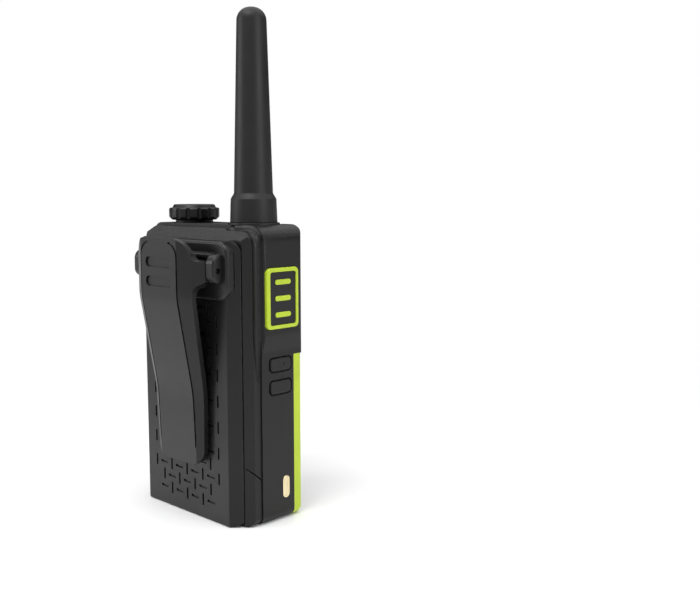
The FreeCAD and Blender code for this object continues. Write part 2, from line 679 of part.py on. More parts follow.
def front_posts():
    """Return the front housing's screw posts, each with a rib to the side wall."""
    posts = []
    for x, z in screw_places():
        wall = math.copysign(INNER_X + 0.3, x)
        reach = sorted((x, wall))
        rib_back = PARTING_Y - SEAL_DEPTH - FIT_GAP
        posts.append(screw_post(x, z, POST_FRONT_Y, PARTING_Y))
        posts.append(box(reach[0], reach[1], POST_FRONT_Y, rib_back, z - 1, z + 1))
    return posts


def board_posts():
    """Return the posts behind the front wall that the board rests on."""
    wall_y = TRIM_FRONT_Y + WALL * 1.5 - 0.2
    x = BOARD_HALF_W - BOARD_POST_INSET
    heights = (BOARD_LOW_Z + BOARD_POST_INSET, BOARD_HIGH_Z - BOARD_POST_INSET)
    return [rod_y(BOARD_POST_RADIUS, wall_y, BOARD_Y, side * x, z) for side in (-1, 1) for z in heights]


def rear_posts():
    """Return the rear frame's screw posts."""
    return [screw_post(x, z, PARTING_Y, SEAM_Y - WALL / 2) for x, z in screw_places()]


def screw_places():
    """Return the places of the four housing screws."""
    x = COVER_HALF_W - SCREW_INSET_X
    return [(sx * x, z) for sx in (-1, 1) for z in (SCREW_LOW_Z, REAR_TOP_Z - SCREW_HIGH_BELOW)]


def screw_set(gap):
    """Return the four housing screws."""
    heads = []
    for x, z in screw_places():
        heads.append(screw(x, z, gap))
    return Part.makeCompound(heads)


# ================================================================ top controls
def volume_knob():
    """Fluted volume knob with a raised disc on top."""
    base = BODY_HEIGHT + KNOB_BASE_GAP
    band_top = base + KNOB_BAND
    top = band_top + KNOB_DISC_HEIGHT
    profile = [
        (0, base, 0), (KNOB_RADIUS - 1.1, base, 0), (KNOB_RADIUS, base + 1.0, 0.6),
        (KNOB_RADIUS, band_top, 0.7),
        (KNOB_DISC_RADIUS, band_top, 0.2), (KNOB_DISC_RADIUS - 0.6, top, 0.7), (0, top, 0),
    ]
    knob = turned(profile, KNOB_X, CONTROL_Y)
    flutes = []
    for i in range(KNOB_FLUTES):
        angle = 2 * math.pi * i / KNOB_FLUTES
        reach = KNOB_RADIUS + KNOB_FLUTE_RADIUS * 0.35
        x = KNOB_X + reach * math.cos(angle)
        y = CONTROL_Y + reach * math.sin(angle)
        flutes.append(rod_z(KNOB_FLUTE_RADIUS, base - 1, band_top + 0.01, x, y))
    mark = box(KNOB_X - 0.5, KNOB_X + 0.5, CONTROL_Y - 6.6, CONTROL_Y - 3.4, top - 0.3, top + 1)
    bore = rod_z(SHAFT_RADIUS, base - 1, top - 1.4, KNOB_X, CONTROL_Y)
    recess = rod_z(KNOB_NECK_RADIUS + 0.35, base - 1, base + NUT_HEIGHT, KNOB_X, CONTROL_Y)
    return knob.cut(flutes + [mark, bore, recess])


def knob_shaft():
    """Shaft of the volume control, pressed into the knob."""
    top = BODY_HEIGHT + KNOB_BASE_GAP + KNOB_BAND + KNOB_DISC_HEIGHT - 1.4
    low = BODY_HEIGHT + NUT_HEIGHT + 0.3
    upper = rod_z(SHAFT_RADIUS, low, top, KNOB_X, CONTROL_Y)
    turning = SHAFT_RADIUS - 1.0
    lower = rod(turning, vec(KNOB_X, CONTROL_Y, BODY_HEIGHT - WALL - POT_HEIGHT + 1.5),
                vec(KNOB_X, CONTROL_Y, low))
    return upper.fuse(lower).removeSplitter()


def knob_control():
    """Volume control body with its threaded bush through the top deck."""
    high = BODY_HEIGHT - WALL
    low = high - POT_HEIGHT
    body = rod_z(POT_RADIUS, low, high, KNOB_X, CONTROL_Y)
    bush = rod_z(BUSH_RADIUS, high, BODY_HEIGHT + NUT_HEIGHT, KNOB_X, CONTROL_Y)
    bore = rod(SHAFT_RADIUS - 1.0 + BUSH_CLEARANCE, vec(KNOB_X, CONTROL_Y, low + 1.4),
               vec(KNOB_X, CONTROL_Y, BODY_HEIGHT + NUT_HEIGHT + 1))
    pins = [box(KNOB_X + dx - 0.4, KNOB_X + dx + 0.4, CONTROL_Y - 0.3, CONTROL_Y + 0.3, low - 2.5, low)
            for dx in (-2.5, 0, 2.5)]
    return fuse_all([body, bush] + pins).cut(bore)


def knob_nut():
    """Round nut and neck ring that clamp the volume control to the deck."""
    z0 = BODY_HEIGHT
    ring = turned([(BUSH_RADIUS, z0, 0), (KNOB_NECK_RADIUS, z0, 0), (KNOB_NECK_RADIUS, z0 + 0.9, 0.2),
                   (NUT_ACROSS / 2, z0 + 0.9, 0), (NUT_ACROSS / 2, z0 + NUT_HEIGHT, 0.3),
                   (BUSH_RADIUS, z0 + NUT_HEIGHT, 0)], KNOB_X, CONTROL_Y)
    slots = [box(KNOB_X - 6, KNOB_X + 6, CONTROL_Y - 0.5, CONTROL_Y + 0.5, z0 + 1.1, z0 + 3)]
    return ring.cut(slots)


def antenna_whip():
    """Moulded antenna: collar, shoulder, tapered whip and round tip."""
    z0 = BODY_HEIGHT + ANTENNA_FLANGE_HEIGHT
    z1 = BODY_HEIGHT + ANTENNA_FLANGE_HEIGHT + COLLAR_HEIGHT
    z2 = z1 + SHOULDER_HEIGHT
    top = BODY_HEIGHT + ANTENNA_HEIGHT
    profile = [
        (0, z0, 0), (COLLAR_RADIUS_LOW, z0, 0.3), (COLLAR_RADIUS_HIGH, z1, 0.8), (WHIP_RADIUS_LOW, z2, 0.8),
        (WHIP_RADIUS_HIGH, top, WHIP_RADIUS_HIGH * 0.9), (0, top, 0),
    ]
    whip = turned(profile, ANTENNA_X, CONTROL_Y)
    core = rod_z(STUD_RADIUS, z0 - 1, z1, ANTENNA_X, CONTROL_Y)
    return whip.cut(core)


def antenna_stud():
    """Threaded metal stud that holds the antenna to the deck."""
    top = BODY_HEIGHT + ANTENNA_FLANGE_HEIGHT + COLLAR_HEIGHT
    low = BODY_HEIGHT - STUD_LENGTH
    stud = rod_z(STUD_RADIUS, low, top, ANTENNA_X, CONTROL_Y)
    slot = box(ANTENNA_X - 4, ANTENNA_X + 4, CONTROL_Y - 0.4, CONTROL_Y + 0.4, low - 1, low + 3)
    return stud.cut(slot)


def antenna_flange():
    """Seat ring between the antenna and the deck."""
    z0 = BODY_HEIGHT
    z1 = z0 + ANTENNA_FLANGE_HEIGHT
    return turned([(STUD_RADIUS, z0, 0), (ANTENNA_FLANGE_RADIUS, z0, 0), (ANTENNA_FLANGE_RADIUS, z1, 0.3),
                   (STUD_RADIUS, z1, 0)], ANTENNA_X, CONTROL_Y)


def antenna_nut():
    """Hexagon nut on the antenna stud, under the deck."""
    z1 = BODY_HEIGHT - WALL
    corners = []
    for i in range(6):
        angle = math.pi / 3 * i
        reach = NUT_ACROSS / math.sqrt(3)
        corners.append((ANTENNA_X + reach * math.cos(angle), CONTROL_Y + reach * math.sin(angle), 0))
    nut = prism("xy", corners, z1 - 2.4, z1)
    return nut.cut(rod_z(STUD_RADIUS, z1 - 3, z1 + 1, ANTENNA_X, CONTROL_Y))


# ================================================================ push-to-talk
def ptt_block(width, length, radius, x0, x1):
    """Return a rounded block of the push-to-talk button."""
    return prism("yz", centred(PTT_CENTRE_Y, PTT_CENTRE_Z, width, length, radius), x0, x1)


def ptt_frame():
    """Coloured outer frame of the push-to-talk button, with its inner flange."""
    block = ptt_block(PTT_WIDTH, PTT_LENGTH, PTT_CORNER, PTT_OUTER_X, FLANGE_X)
    rim = edges_where(block, lambda c: near(c.x, PTT_OUTER_X))
    block = block.makeFillet(min(0.7, PTT_RIM * 0.4), rim)
    flange = ptt_block(PTT_WIDTH, PTT_LENGTH + 2 * PTT_LIP, PTT_CORNER, -INNER_X + 0.1, FLANGE_X)
    inner_w = PTT_WIDTH - 2 * PTT_RIM
    inner_l = PTT_LENGTH - 2 * PTT_RIM
    hole = ptt_block(inner_w, inner_l, PTT_CORNER * 0.5, PTT_OUTER_X - 1, FLANGE_X + 1)
    return fuse_all([block, flange]).cut(hole)


def bar_places():
    """Return the heights of the bars on the push-to-talk button."""
    middle = (BAR_COUNT - 1) / 2
    return [PTT_CENTRE_Z + (i - middle) * BAR_PITCH for i in range(BAR_COUNT)]


def bar_shapes(x0, x1):
    """Return the bars of the push-to-talk button as separate solids."""
    bars = []
    for z in bar_places():
        bars.append(window(PTT_CENTRE_Y, z, BAR_LENGTH, BAR_HEIGHT, BAR_HEIGHT * 0.45, x0, x1))
    return bars


def ptt_insert():
    """Dark centre of the push-to-talk button, which presses its switch."""
    width = PTT_WIDTH - 2 * PTT_RIM
    length = PTT_LENGTH - 2 * PTT_RIM
    face = PTT_OUTER_X + 0.25
    block = ptt_block(width, length, PTT_CORNER * 0.5, face, FLANGE_X)
    rim = edges_where(block, lambda c: near(c.x, face))
    block = block.makeFillet(0.3, rim)
    return block.cut(bar_shapes(face - 1, face + 1.2))


def ptt_bars():
    """Three coloured bars set in the button's centre."""
    face = PTT_OUTER_X + 0.25
    bars = []
    for bar in bar_shapes(face - BAR_PROUD, face + 1.2):
        rim = edges_where(bar, lambda c: near(c.x, face - BAR_PROUD))
        bars.append(bar.makeFillet(0.2, rim))
    return Part.makeCompound(bars)


def tact_switch(y, z, contact_x):
    """Return one push switch whose plunger ends at contact_x."""
    plunger = rod_x(1.5, contact_x, contact_x + SWITCH_PLUNGER + 0.2, y, z)
    half_y = SWITCH_WIDTH / 2
    half_z = SWITCH_HEIGHT / 2
    case = box(contact_x + SWITCH_PLUNGER, contact_x + SWITCH_DEPTH, y - half_y, y + half_y,
               z - half_z, z + half_z)
    return plunger.fuse(case)


def ptt_switch():
    """Switch behind the push-to-talk button."""
    return tact_switch(PTT_CENTRE_Y, PTT_CENTRE_Z, FLANGE_X + PTT_TRAVEL + SWITCH_GAP)


def side_key(z):
    """Return one side key with its inner flange."""
    block = window(KEY_CENTRE_Y, z, KEY_WIDTH, KEY_HEIGHT, KEY_CORNER, KEY_OUTER_X, -INNER_X + 0.1)
    rim = edges_where(block, lambda c: near(c.x, KEY_OUTER_X))
    block = block.makeFillet(0.5, rim)
    flange = window(KEY_CENTRE_Y, z, KEY_WIDTH + 1.2, KEY_HEIGHT + 1.2, KEY_CORNER, -INNER_X + 0.1,
                    -INNER_X + KEY_FLANGE)
    return fuse_all([block, flange])


def key_upper():
    """Upper side key, with a small touch dot."""
    z = key_centres()[0]
    dot = rod_x(0.45, KEY_OUTER_X - 0.1, KEY_OUTER_X + 0.3, KEY_CENTRE_Y - 1.2, z)
    return side_key(z).cut(dot)


def key_lower():
    """Lower side key."""
    return side_key(key_centres()[1])


def key_switches():
    """Two switches behind the side keys."""
    return Part.makeCompound([tact_switch(KEY_CENTRE_Y, z, KEY_FACE_X) for z in key_centres()])


# ================================================================ socket side
def headset_mark():
    """Return the headset symbol, an arch with two feet."""
    y = FLAP_CENTRE_Y
    z = JACK_Z
    arch = Part.makeCylinder(2.5, 2, vec(FLAP_OUTER_X - 0.3, y, z), vec(1, 0, 0))
    arch = arch.cut(Part.makeCylinder(2.0, 4, vec(FLAP_OUTER_X - 1, y, z), vec(1, 0, 0)))
    arch = arch.cut(box(FLAP_OUTER_X - 1, FLAP_OUTER_X + 3, y - 3, y + 3, z - 4, z))
    feet = []
    for foot_y in (y - 2.1, y + 2.1):
        feet.append(box(FLAP_OUTER_X - 0.3, FLAP_OUTER_X + 1, foot_y - 0.6, foot_y + 0.6, z - 2.2, z))
    return fuse_all([arch] + feet)


def power_mark():
    """Return a plain plug symbol: two pins, a body and a lead."""
    y = FLAP_CENTRE_Y
    z = SOCKET_Z
    x0 = FLAP_OUTER_X - 0.3
    x1 = FLAP_OUTER_X + 1
    pins = [box(x0, x1, y + s - 0.3, y + s + 0.3, z + 1.0, z + 3.0) for s in (-1.0, 1.0)]
    body = window(y, z, 3.6, 2.2, 0.9, x0, x1)
    lead = box(x0, x1, y - 0.3, y + 0.3, z - 3.2, z - 1.0)
    return fuse_all([body, lead] + pins)


def hinge_groove():
    """Return the wedge-shaped groove that lets the socket cover fold open."""
    outer_x = FLAP_OUTER_X + 0.1
    corners = [
        (FLAP_HINGE_X, FLAP_HINGE_Z, 0), (outer_x, FLAP_HINGE_Z - HINGE_OPENING, 0),
        (outer_x, FLAP_HINGE_Z + HINGE_OPENING, 0),
    ]
    return prism("xz", corners, FLAP_CENTRE_Y - FLAP_WIDTH, FLAP_CENTRE_Y + FLAP_WIDTH)


def hinge_bead(play, half):
    """Return the round bead on the hinge line, grown by a play."""
    y0 = FLAP_CENTRE_Y - half
    y1 = FLAP_CENTRE_Y + half
    return rod_y(HINGE_BEAD + play, y0, y1, FLAP_HINGE_X, FLAP_HINGE_Z)


def port_flap():
    """Rubber socket cover above its hinge line, with two plugs behind."""
    flap = prism("yz", flap_outline(0, FLAP_HINGE_Z, FLAP_TOP_Z), FLAP_FLOOR_X + 0.1, FLAP_OUTER_X)
    rim = edges_where(flap, lambda c: near(c.x, FLAP_OUTER_X) and c.z > FLAP_HINGE_Z + 1)
    flap = flap.makeFillet(0.35, rim)
    root = FLAP_FLOOR_X + 0.2
    plug = rod_x(JACK_BORE - PLUG_GAP, root - PLUG_DEPTH, root, FLAP_CENTRE_Y, JACK_Z)
    slack = 2 * PLUG_GAP + 0.8
    tongue = window(FLAP_CENTRE_Y, SOCKET_Z, SOCKET_WIDTH - slack, SOCKET_HEIGHT - slack, 0.8,
                    root - PLUG_DEPTH, root)
    flap = fuse_all([flap, plug, tongue]).cut([headset_mark(), power_mark(), hinge_groove()])
    return flap.fuse(hinge_bead(0, FLAP_WIDTH / 2 - 0.1))


def flap_anchor():
    """Fixed lower end of the socket cover."""
    anchor = prism("yz", flap_outline(0, FLAP_BOTTOM_Z, FLAP_HINGE_Z), FLAP_FLOOR_X, FLAP_OUTER_X)
    rim = edges_where(anchor, lambda c: near(c.x, FLAP_OUTER_X) and c.z < FLAP_HINGE_Z - 1)
    end_z = FLAP_HINGE_Z - HINGE_BEAD / 2
    beyond = box(FLAP_FLOOR_X - 1, FLAP_OUTER_X + 1, FLAP_CENTRE_Y - FLAP_WIDTH, FLAP_CENTRE_Y + FLAP_WIDTH,
                 end_z, FLAP_HINGE_Z + 1)
    return anchor.makeFillet(0.35, rim).cut([hinge_groove(), beyond, hinge_bead(HINGE_PLAY, FLAP_WIDTH)])


def headset_jack():
    """Headset socket behind the cover."""
    x1 = JACK_FRONT_X
    board_face = BOARD_Y + BOARD_THICK
    barrel = rod_x(JACK_RADIUS, x1 - JACK_COLLAR, x1, FLAP_CENTRE_Y, JACK_Z)
    block = box(x1 - 11, x1 - JACK_COLLAR, board_face, FLAP_CENTRE_Y + 4, JACK_Z - 3.6, JACK_Z + 3.6)
    bore = rod_x(JACK_BORE, x1 - 10, x1 + 1, FLAP_CENTRE_Y, JACK_Z)
    return barrel.fuse(block).cut(bore)


def charge_socket():
    """Charging socket behind the cover."""
    x1 = JACK_FRONT_X
    inner = x1 - SOCKET_DEPTH
    shell = window(FLAP_CENTRE_Y, SOCKET_Z, SOCKET_WIDTH, SOCKET_HEIGHT, 1.1, inner, x1)
    mouth = window(FLAP_CENTRE_Y, SOCKET_Z, SOCKET_WIDTH - 0.8, SOCKET_HEIGHT - 0.8, 0.8, inner + 1, x1 + 1)
    shell = shell.cut(mouth)
    tongue = box(inner + 0.5, x1 - 1.6, FLAP_CENTRE_Y - 0.35, FLAP_CENTRE_Y + 0.35,
                 SOCKET_Z - 3.0, SOCKET_Z + 3.0)
    return shell.fuse(tongue)


def side_contacts():
    """Two charging contacts, one in each side wall."""
    contacts = []
    for side in (-1, 1):
        reach = sorted((side * (HALF_W + PILL_PROUD), side * (INNER_X - 0.6)))
        pill = window(PILL_CENTRE_Y, PILL_CENTRE_Z, PILL_WIDTH, PILL_HEIGHT, PILL_WIDTH * 0.49, *reach)
        rim = edges_where(pill, lambda c: near(abs(c.x), HALF_W + PILL_PROUD))
        contacts.append(pill.makeFillet(0.3, rim))
    return Part.makeCompound(contacts)


# ================================================================ battery
def cover_outline(inset):
    """Return the battery cover's outline seen from behind, set in by a distance."""
    half = COVER_HALF_W - inset
    high = max(COVER_CORNER - inset, 0.5)
    low = max(CORNER_BOTTOM - inset, 0.5)
    return rectangle(-half, half, COVER_BOTTOM + inset, COVER_TOP_Z - inset, low, high)


def cover_plan(inset, y0):
    """Return the battery cover's outline seen from above, set in by a distance."""
    back = BACK_Y - inset
    flat = COVER_FLAT_HALF - inset * 0.414
    wide = flat + back - y0
    return [(-wide, y0, 0), (wide, y0, 0), (flat, back, 0.8), (-flat, back, 0.8)]


def weave_groove(column, row):
    """Return one groove of the woven pattern, or None where there is none."""
    edge = (WEAVE_COLUMNS - 1) // 2
    across = (column + row) % 2 == 1
    if abs(column) == edge and (across or row == 0):
        return None
    x = column * WEAVE_PITCH
    z = WEAVE_FIRST_Z + row * WEAVE_PITCH
    size = (WEAVE_LENGTH, WEAVE_WIDTH) if across else (WEAVE_WIDTH, WEAVE_LENGTH)
    return prism("xz", centred(x, z, size[0], size[1], WEAVE_WIDTH * 0.45), BACK_Y - WEAVE_DEPTH, BACK_Y + 1)


def weave():
    """Return all grooves of the woven pattern below the clip mount."""
    edge = (WEAVE_COLUMNS - 1) // 2
    rows = int((MOUNT_BOTTOM_Z - WEAVE_LENGTH / 2 - 0.5 - WEAVE_FIRST_Z) / WEAVE_PITCH) + 1
    grooves = []
    for column in range(-edge, edge + 1):
        for row in range(rows):
            groove = weave_groove(column, row)
            if groove is not None:
                grooves.append(groove)
    return Part.makeCompound(grooves)


def mount_block(y0, y1):
    """Return the block of the clip mount's plate between two depths."""
    corners = rectangle(-MOUNT_HALF_WIDTH, MOUNT_HALF_WIDTH, MOUNT_BOTTOM_Z, MOUNT_TOP_Z, MOUNT_CORNER_LOW,
                        MOUNT_CORNER_HIGH)
    return prism("xz", corners, y0, y1)


def battery_cover():
    """Battery cover: woven back, slanted sides, locating rim and clip seat."""
    y0 = SEAM_Y + SEAM_GAP
    outer = prism("xz", cover_outline(0), y0, BACK_Y).common(prism("xy", cover_plan(0, y0), 0, BODY_HEIGHT))
    hollow = prism("xz", cover_outline(COVER_WALL), y0 - 1, BACK_Y - COVER_WALL)
    hollow = hollow.common(prism("xy", cover_plan(COVER_WALL, y0 - 1), 0, BODY_HEIGHT))
    inner_half = BAY_HALF_W - RIM_GAP
    z0 = BAY_LOW_Z + RIM_GAP
    z1 = BAY_HIGH_Z - RIM_GAP
    inside = rectangle(-inner_half, inner_half, z0, z1, 1.0)
    rim = prism("xz", inside, SEAM_Y - RIM_DEPTH, BACK_Y - COVER_WALL)
    wall = RIM_WALL
    rim = rim.cut(box(-inner_half + wall, inner_half - wall, 0, BACK_Y, z0 + wall, z1 - wall))
    for x in cell_places():
        rim = rim.cut(rod_z(CELL_DIAMETER / 2 + CELL_GAP, z0 - 1, z1 + 1, x, CELL_Y))
    shell = outer.cut(hollow).fuse(rim)
    return shell.cut([weave(), mount_block(MOUNT_ROOT_Y - 1, BACK_Y + 1)]).removeSplitter()


def cell_places():
    """Return the places of the cells across the bay."""
    middle = (CELL_COUNT - 1) / 2
    return [(i - middle) * CELL_PITCH for i in range(CELL_COUNT)]


def battery_cells():
    """Cells of the battery, side by side, ends turned about."""
    cells = []
    for i, x in enumerate(cell_places()):
        z0 = CELL_BASE_Z
        z1 = CELL_BASE_Z + CELL_LENGTH
        nub = 1.0
        if i % 2 == 0:
            can = rod_z(CELL_DIAMETER / 2, z0, z1 - nub, x, CELL_Y)
            cap = rod_z(1.9, z1 - nub, z1, x, CELL_Y)
        else:
            can = rod_z(CELL_DIAMETER / 2, z0 + nub, z1, x, CELL_Y)
            cap = rod_z(1.9, z0, z0 + nub, x, CELL_Y)
        cells.append(can.fuse(cap))
    return Part.makeCompound(cells)


def cell_contacts():
    """Bent contact strips at both ends of the battery bay."""
    strips = []
    width = CELL_DIAMETER * 0.7
    for x in cell_places():
        for wall_z, end_z in ((BAY_LOW_Z, CELL_BASE_Z), (BAY_HIGH_Z, CELL_BASE_Z + CELL_LENGTH)):
            way = 1 if end_z > wall_z else -1
            thick = way * CONTACT_THICK
            profile = [
                (BAY_FLOOR_Y + 1, wall_z), (SEAM_Y - 3, wall_z), (CELL_Y, end_z), (CELL_Y, end_z - thick),
                (SEAM_Y - 4, wall_z + thick), (BAY_FLOOR_Y + 1, wall_z + thick),
            ]
            strips.append(prism("yz", [(y, z, 0) for y, z in profile], x - width / 2, x + width / 2))
    return Part.makeCompound(strips)


# ================================================================ belt clip
def across(radius, half, y=None, z=None):
    """Return a cylinder along X, centred on the middle, at the pin unless placed elsewhere."""
    return rod_x(radius, -half, half, PIN_Y if y is None else y, PIN_Z if z is None else z)


def clip_lug(side):
    """Return one lug of the clip mount."""
    corners = [
        (MOUNT_ROOT_Y + 0.5, PIN_Z - LUG_BELOW, 0), (PIN_Y + LUG_REACH, PIN_Z - LUG_BELOW, 2.6),
        (PIN_Y + LUG_REACH, PIN_Z + LUG_ABOVE, 3.4), (MOUNT_ROOT_Y + 0.5, PIN_Z + LUG_ABOVE + 1.0, 0),
    ]
    reach = sorted((side * LUG_INNER_X, side * LUG_OUTER_X))
    lug = prism("yz", corners, *reach)
    rim = edges_where(lug, lambda c: near(abs(c.x), LUG_OUTER_X) and c.y > MOUNT_FACE_Y)
    return lug.makeFillet(0.8, rim)


def clip_mount():
    """Clip mount: raised plate, cross bar and the two pin lugs, with a channel for the lever."""
    plate = mount_block(MOUNT_ROOT_Y, MOUNT_FACE_Y)
    rim = edges_where(plate, lambda c: near(c.y, MOUNT_FACE_Y))
    plate = plate.makeFillet(min(1.0, MOUNT_RAISE * 0.8), rim)
    ridge_z = PIN_Z + RIDGE_UP
    ridge_y = MOUNT_FACE_Y + RIDGE_RAISE
    corners = [
        (MOUNT_ROOT_Y + 0.5, ridge_z, 0), (ridge_y, ridge_z, 0.5),
        (ridge_y, ridge_z + RIDGE_THICK * 0.5, 0.5), (MOUNT_ROOT_Y + 0.5, ridge_z + RIDGE_THICK, 0),
    ]
    half = LUG_INNER_X + 0.5
    ridge = prism("yz", corners, -half, half)
    solid = fuse_all([plate, ridge, clip_lug(-1), clip_lug(1)])
    return solid.cut([across(EAR_RADIUS + EAR_ROOM, LUG_INNER_X), across(PIN_RADIUS, MOUNT_HALF_WIDTH + 1)])


def clip_pin():
    """Pivot pin of the clip, tight in the lugs."""
    reach = LUG_OUTER_X - PIN_SET_BACK
    pin = across(PIN_RADIUS, reach)
    return pin.makeChamfer(0.25, edges_where(pin, lambda c: near(abs(c.x), reach)))


def lever_line(sink):
    """Return the lever's outer line seen from the side, sunk in by a depth."""
    bend_z = PIN_Z - LEVER_BEND_BELOW
    knee_z = LEVER_TIP_Z + 0.43 * (bend_z - LEVER_TIP_Z)
    return [
        (LEVER_OUTER_Y - sink, LEVER_TOP_Z, 0), (LEVER_OUTER_Y - sink, bend_z, 26.0),
        (LEVER_KNEE_Y - sink, knee_z, 60.0), (LEVER_FOOT_Y - sink, LEVER_TIP_Z, 0),
    ]


def lever_section(x, sink):
    """Return the outline of the lever's sheet at one place across."""
    inner = lever_line(sink + LEVER_SHEET)
    return rounded_wire("yz", x, lever_line(sink) + inner[::-1])


def lever_sheet():
    """Return the lever's sheet: flat panel between two slanted bands, cut to its outline."""
    panel = Part.Face(lever_section(-LEVER_PANEL_HALF, 0)).extrude(vec(2 * LEVER_PANEL_HALF, 0, 0))
    bands = []
    for side in (-1, 1):
        inner = lever_section(side * LEVER_PANEL_HALF, 0)
        outer = lever_section(side * LEVER_TOP_HALF, LEVER_BAND_DROP)
        bands.append(Part.makeLoft([inner, outer], True, True))
    outline = [
        (-LEVER_TIP_HALF, LEVER_TIP_Z, LEVER_TIP_ROUND), (LEVER_TIP_HALF, LEVER_TIP_Z, LEVER_TIP_ROUND),
        (LEVER_TOP_HALF, PIN_Z - LEVER_BEND_BELOW, 30.0), (LEVER_TOP_HALF, LEVER_TOP_Z, LEVER_TOP_ROUND),
        (-LEVER_TOP_HALF, LEVER_TOP_Z, LEVER_TOP_ROUND), (-LEVER_TOP_HALF, PIN_Z - LEVER_BEND_BELOW, 30.0),
    ]
    block = prism("xz", outline, BACK_Y, LEVER_OUTER_Y + 1)
    return panel.multiFuse(bands).common(block)


def lever_creases():
    """Return the two grooves between the lever's panel and its bands, curved in at the top."""
    low = LEVER_TIP_Z + 4.0
    outer = LEVER_PANEL_HALF + CREASE_WIDTH / 2
    inner = LEVER_PANEL_HALF - CREASE_WIDTH / 2
    top = LEVER_TOP_Z - 1.2
    loop = prism("xz", rectangle(-outer, outer, low, top, 4.0, 5.0), BACK_Y, LEVER_OUTER_Y + 1)
    loop = loop.cut(prism("xz", rectangle(-inner, inner, low - 1, top - CREASE_WIDTH, 0, 4.6),
                          BACK_Y, LEVER_OUTER_Y + 1))
    loop = loop.cut(box(-inner + 4.0, inner - 4.0, BACK_Y, LEVER_OUTER_Y + 1, LEVER_TOP_Z - 8, LEVER_TOP_Z))
    skin = Part.Face(lever_section(-outer, -LEVER_SHEET + CREASE_DEPTH)).extrude(vec(2 * outer, 0, 0))
    return loop.common(skin)


def lever_wing(side):
    """Return one wing of the lever, from its band down to the ear on the pin."""
    band_y = LEVER_OUTER_Y - LEVER_BAND_DROP
    root_y = LEVER_OUTER_Y - LEVER_BAND_DROP / 2
    root_x = (LEVER_PANEL_HALF + LEVER_TOP_HALF) / 2
    inner_y = root_y - LEVER_SHEET
    corners = [
        (side * root_x, root_y, 0), (side * LEVER_TOP_HALF, band_y, 0),
        (side * EAR_OUTER_X, LEVER_OUTER_Y - WING_FALL, 1.0), (side * EAR_OUTER_X, PIN_Y, 0),
        (side * EAR_INNER_X, PIN_Y, 0), (side * EAR_INNER_X, PIN_Y + EAR_RADIUS, 1.0),
        (side * root_x, inner_y, 0),
    ]
    low = PIN_Z - WING_LOW
    high = PIN_Z + WING_HIGH
    edge = LEVER_TOP_HALF - 0.3
    outline = [
        (side * root_x, low - WING_BLEND_LOW, 0), (side * edge, low - WING_BLEND_LOW, 0),
        (side * edge, low, WING_BLEND_LOW * 0.9), (side * EAR_OUTER_X, low, 0.8),
        (side * EAR_OUTER_X, high, 1.4), (side * edge, high, WING_BLEND_HIGH * 0.9),
        (side * edge, high + WING_BLEND_HIGH, 0), (side * root_x, high + WING_BLEND_HIGH, 0),
    ]
    wing = prism("xy", corners, low - WING_BLEND_LOW, high + WING_BLEND_HIGH)
    wing = wing.common(prism("xz", outline, BACK_Y, LEVER_OUTER_Y + 1))
    reach = sorted((side * EAR_INNER_X, side * EAR_OUTER_X))
    return wing.fuse(rod_x(EAR_RADIUS, *reach, PIN_Y, PIN_Z))


def pad_slots():
    """Return the two shallow grip slots of the thumb pad."""
    slots = []
    for i in range(2):
        z = LEVER_TOP_Z - SLOT_UPPER_BELOW_TOP - i * SLOT_PITCH
        slot = centred(0, z, SLOT_LENGTH, SLOT_HEIGHT, SLOT_HEIGHT * 0.49)
        slots.append(prism("xz", slot, LEVER_OUTER_Y - SLOT_DEPTH, LEVER_OUTER_Y + 1))
    return slots


def belt_clip():
    """Sprung belt clip lever: creased panel with grip slots, slanted bands, wings and ears."""
    bead_y = BACK_Y + LEVER_TIP_GAP + TIP_BEAD_RADIUS
    bead = across(TIP_BEAD_RADIUS, TIP_BEAD_HALF, bead_y, LEVER_TIP_Z + TIP_BEAD_UP)
    lever = lever_sheet().multiFuse([lever_wing(-1), lever_wing(1), bead])
    bore = across(PIN_RADIUS + PIN_CLEARANCE, EAR_OUTER_X + 1)
    return lever.cut(pad_slots() + [lever_creases(), bore]).removeSplitter()


def clip_spring():
    """Torsion spring on the pin, as its outer form with two pairs of legs."""
    half = SPRING_LENGTH / 2
    bore = PIN_RADIUS + SPRING_PLAY
    outer = bore + SPRING_WIRE
    coil = across(outer, half).cut(across(bore, half + 1))
    wire = SPRING_WIRE * 0.45
    mount_y = MOUNT_FACE_Y + wire
    lever_y = LEVER_OUTER_Y - LEVER_SHEET - wire
    legs = []
    for side in (-1, 1):
        x = side * (half - SPRING_WIRE)
        legs.append(rod(wire, vec(x, PIN_Y, PIN_Z - outer + wire), vec(x, mount_y, PIN_Z - SPRING_LEG_LOW)))
        legs.append(rod(wire, vec(x, PIN_Y + outer - wire, PIN_Z), vec(x, lever_y, PIN_Z + SPRING_LEG_HIGH)))
    return fuse_all([coil] + legs)


def mount_screws():
    """Two screws that hold the clip mount to the cover from inside."""
    screws = []
    for x in (-8.0, 8.0):
        z = PIN_Z + 1
        head = rod_y(1.9, MOUNT_ROOT_Y - 1.0, MOUNT_ROOT_Y, x, z)
        slot = box(x - 1.2, x + 1.2, MOUNT_ROOT_Y - 2, MOUNT_ROOT_Y - 0.6, z - 0.25, z + 0.25)
        screws.append(head.cut(slot))
    return Part.makeCompound(screws)


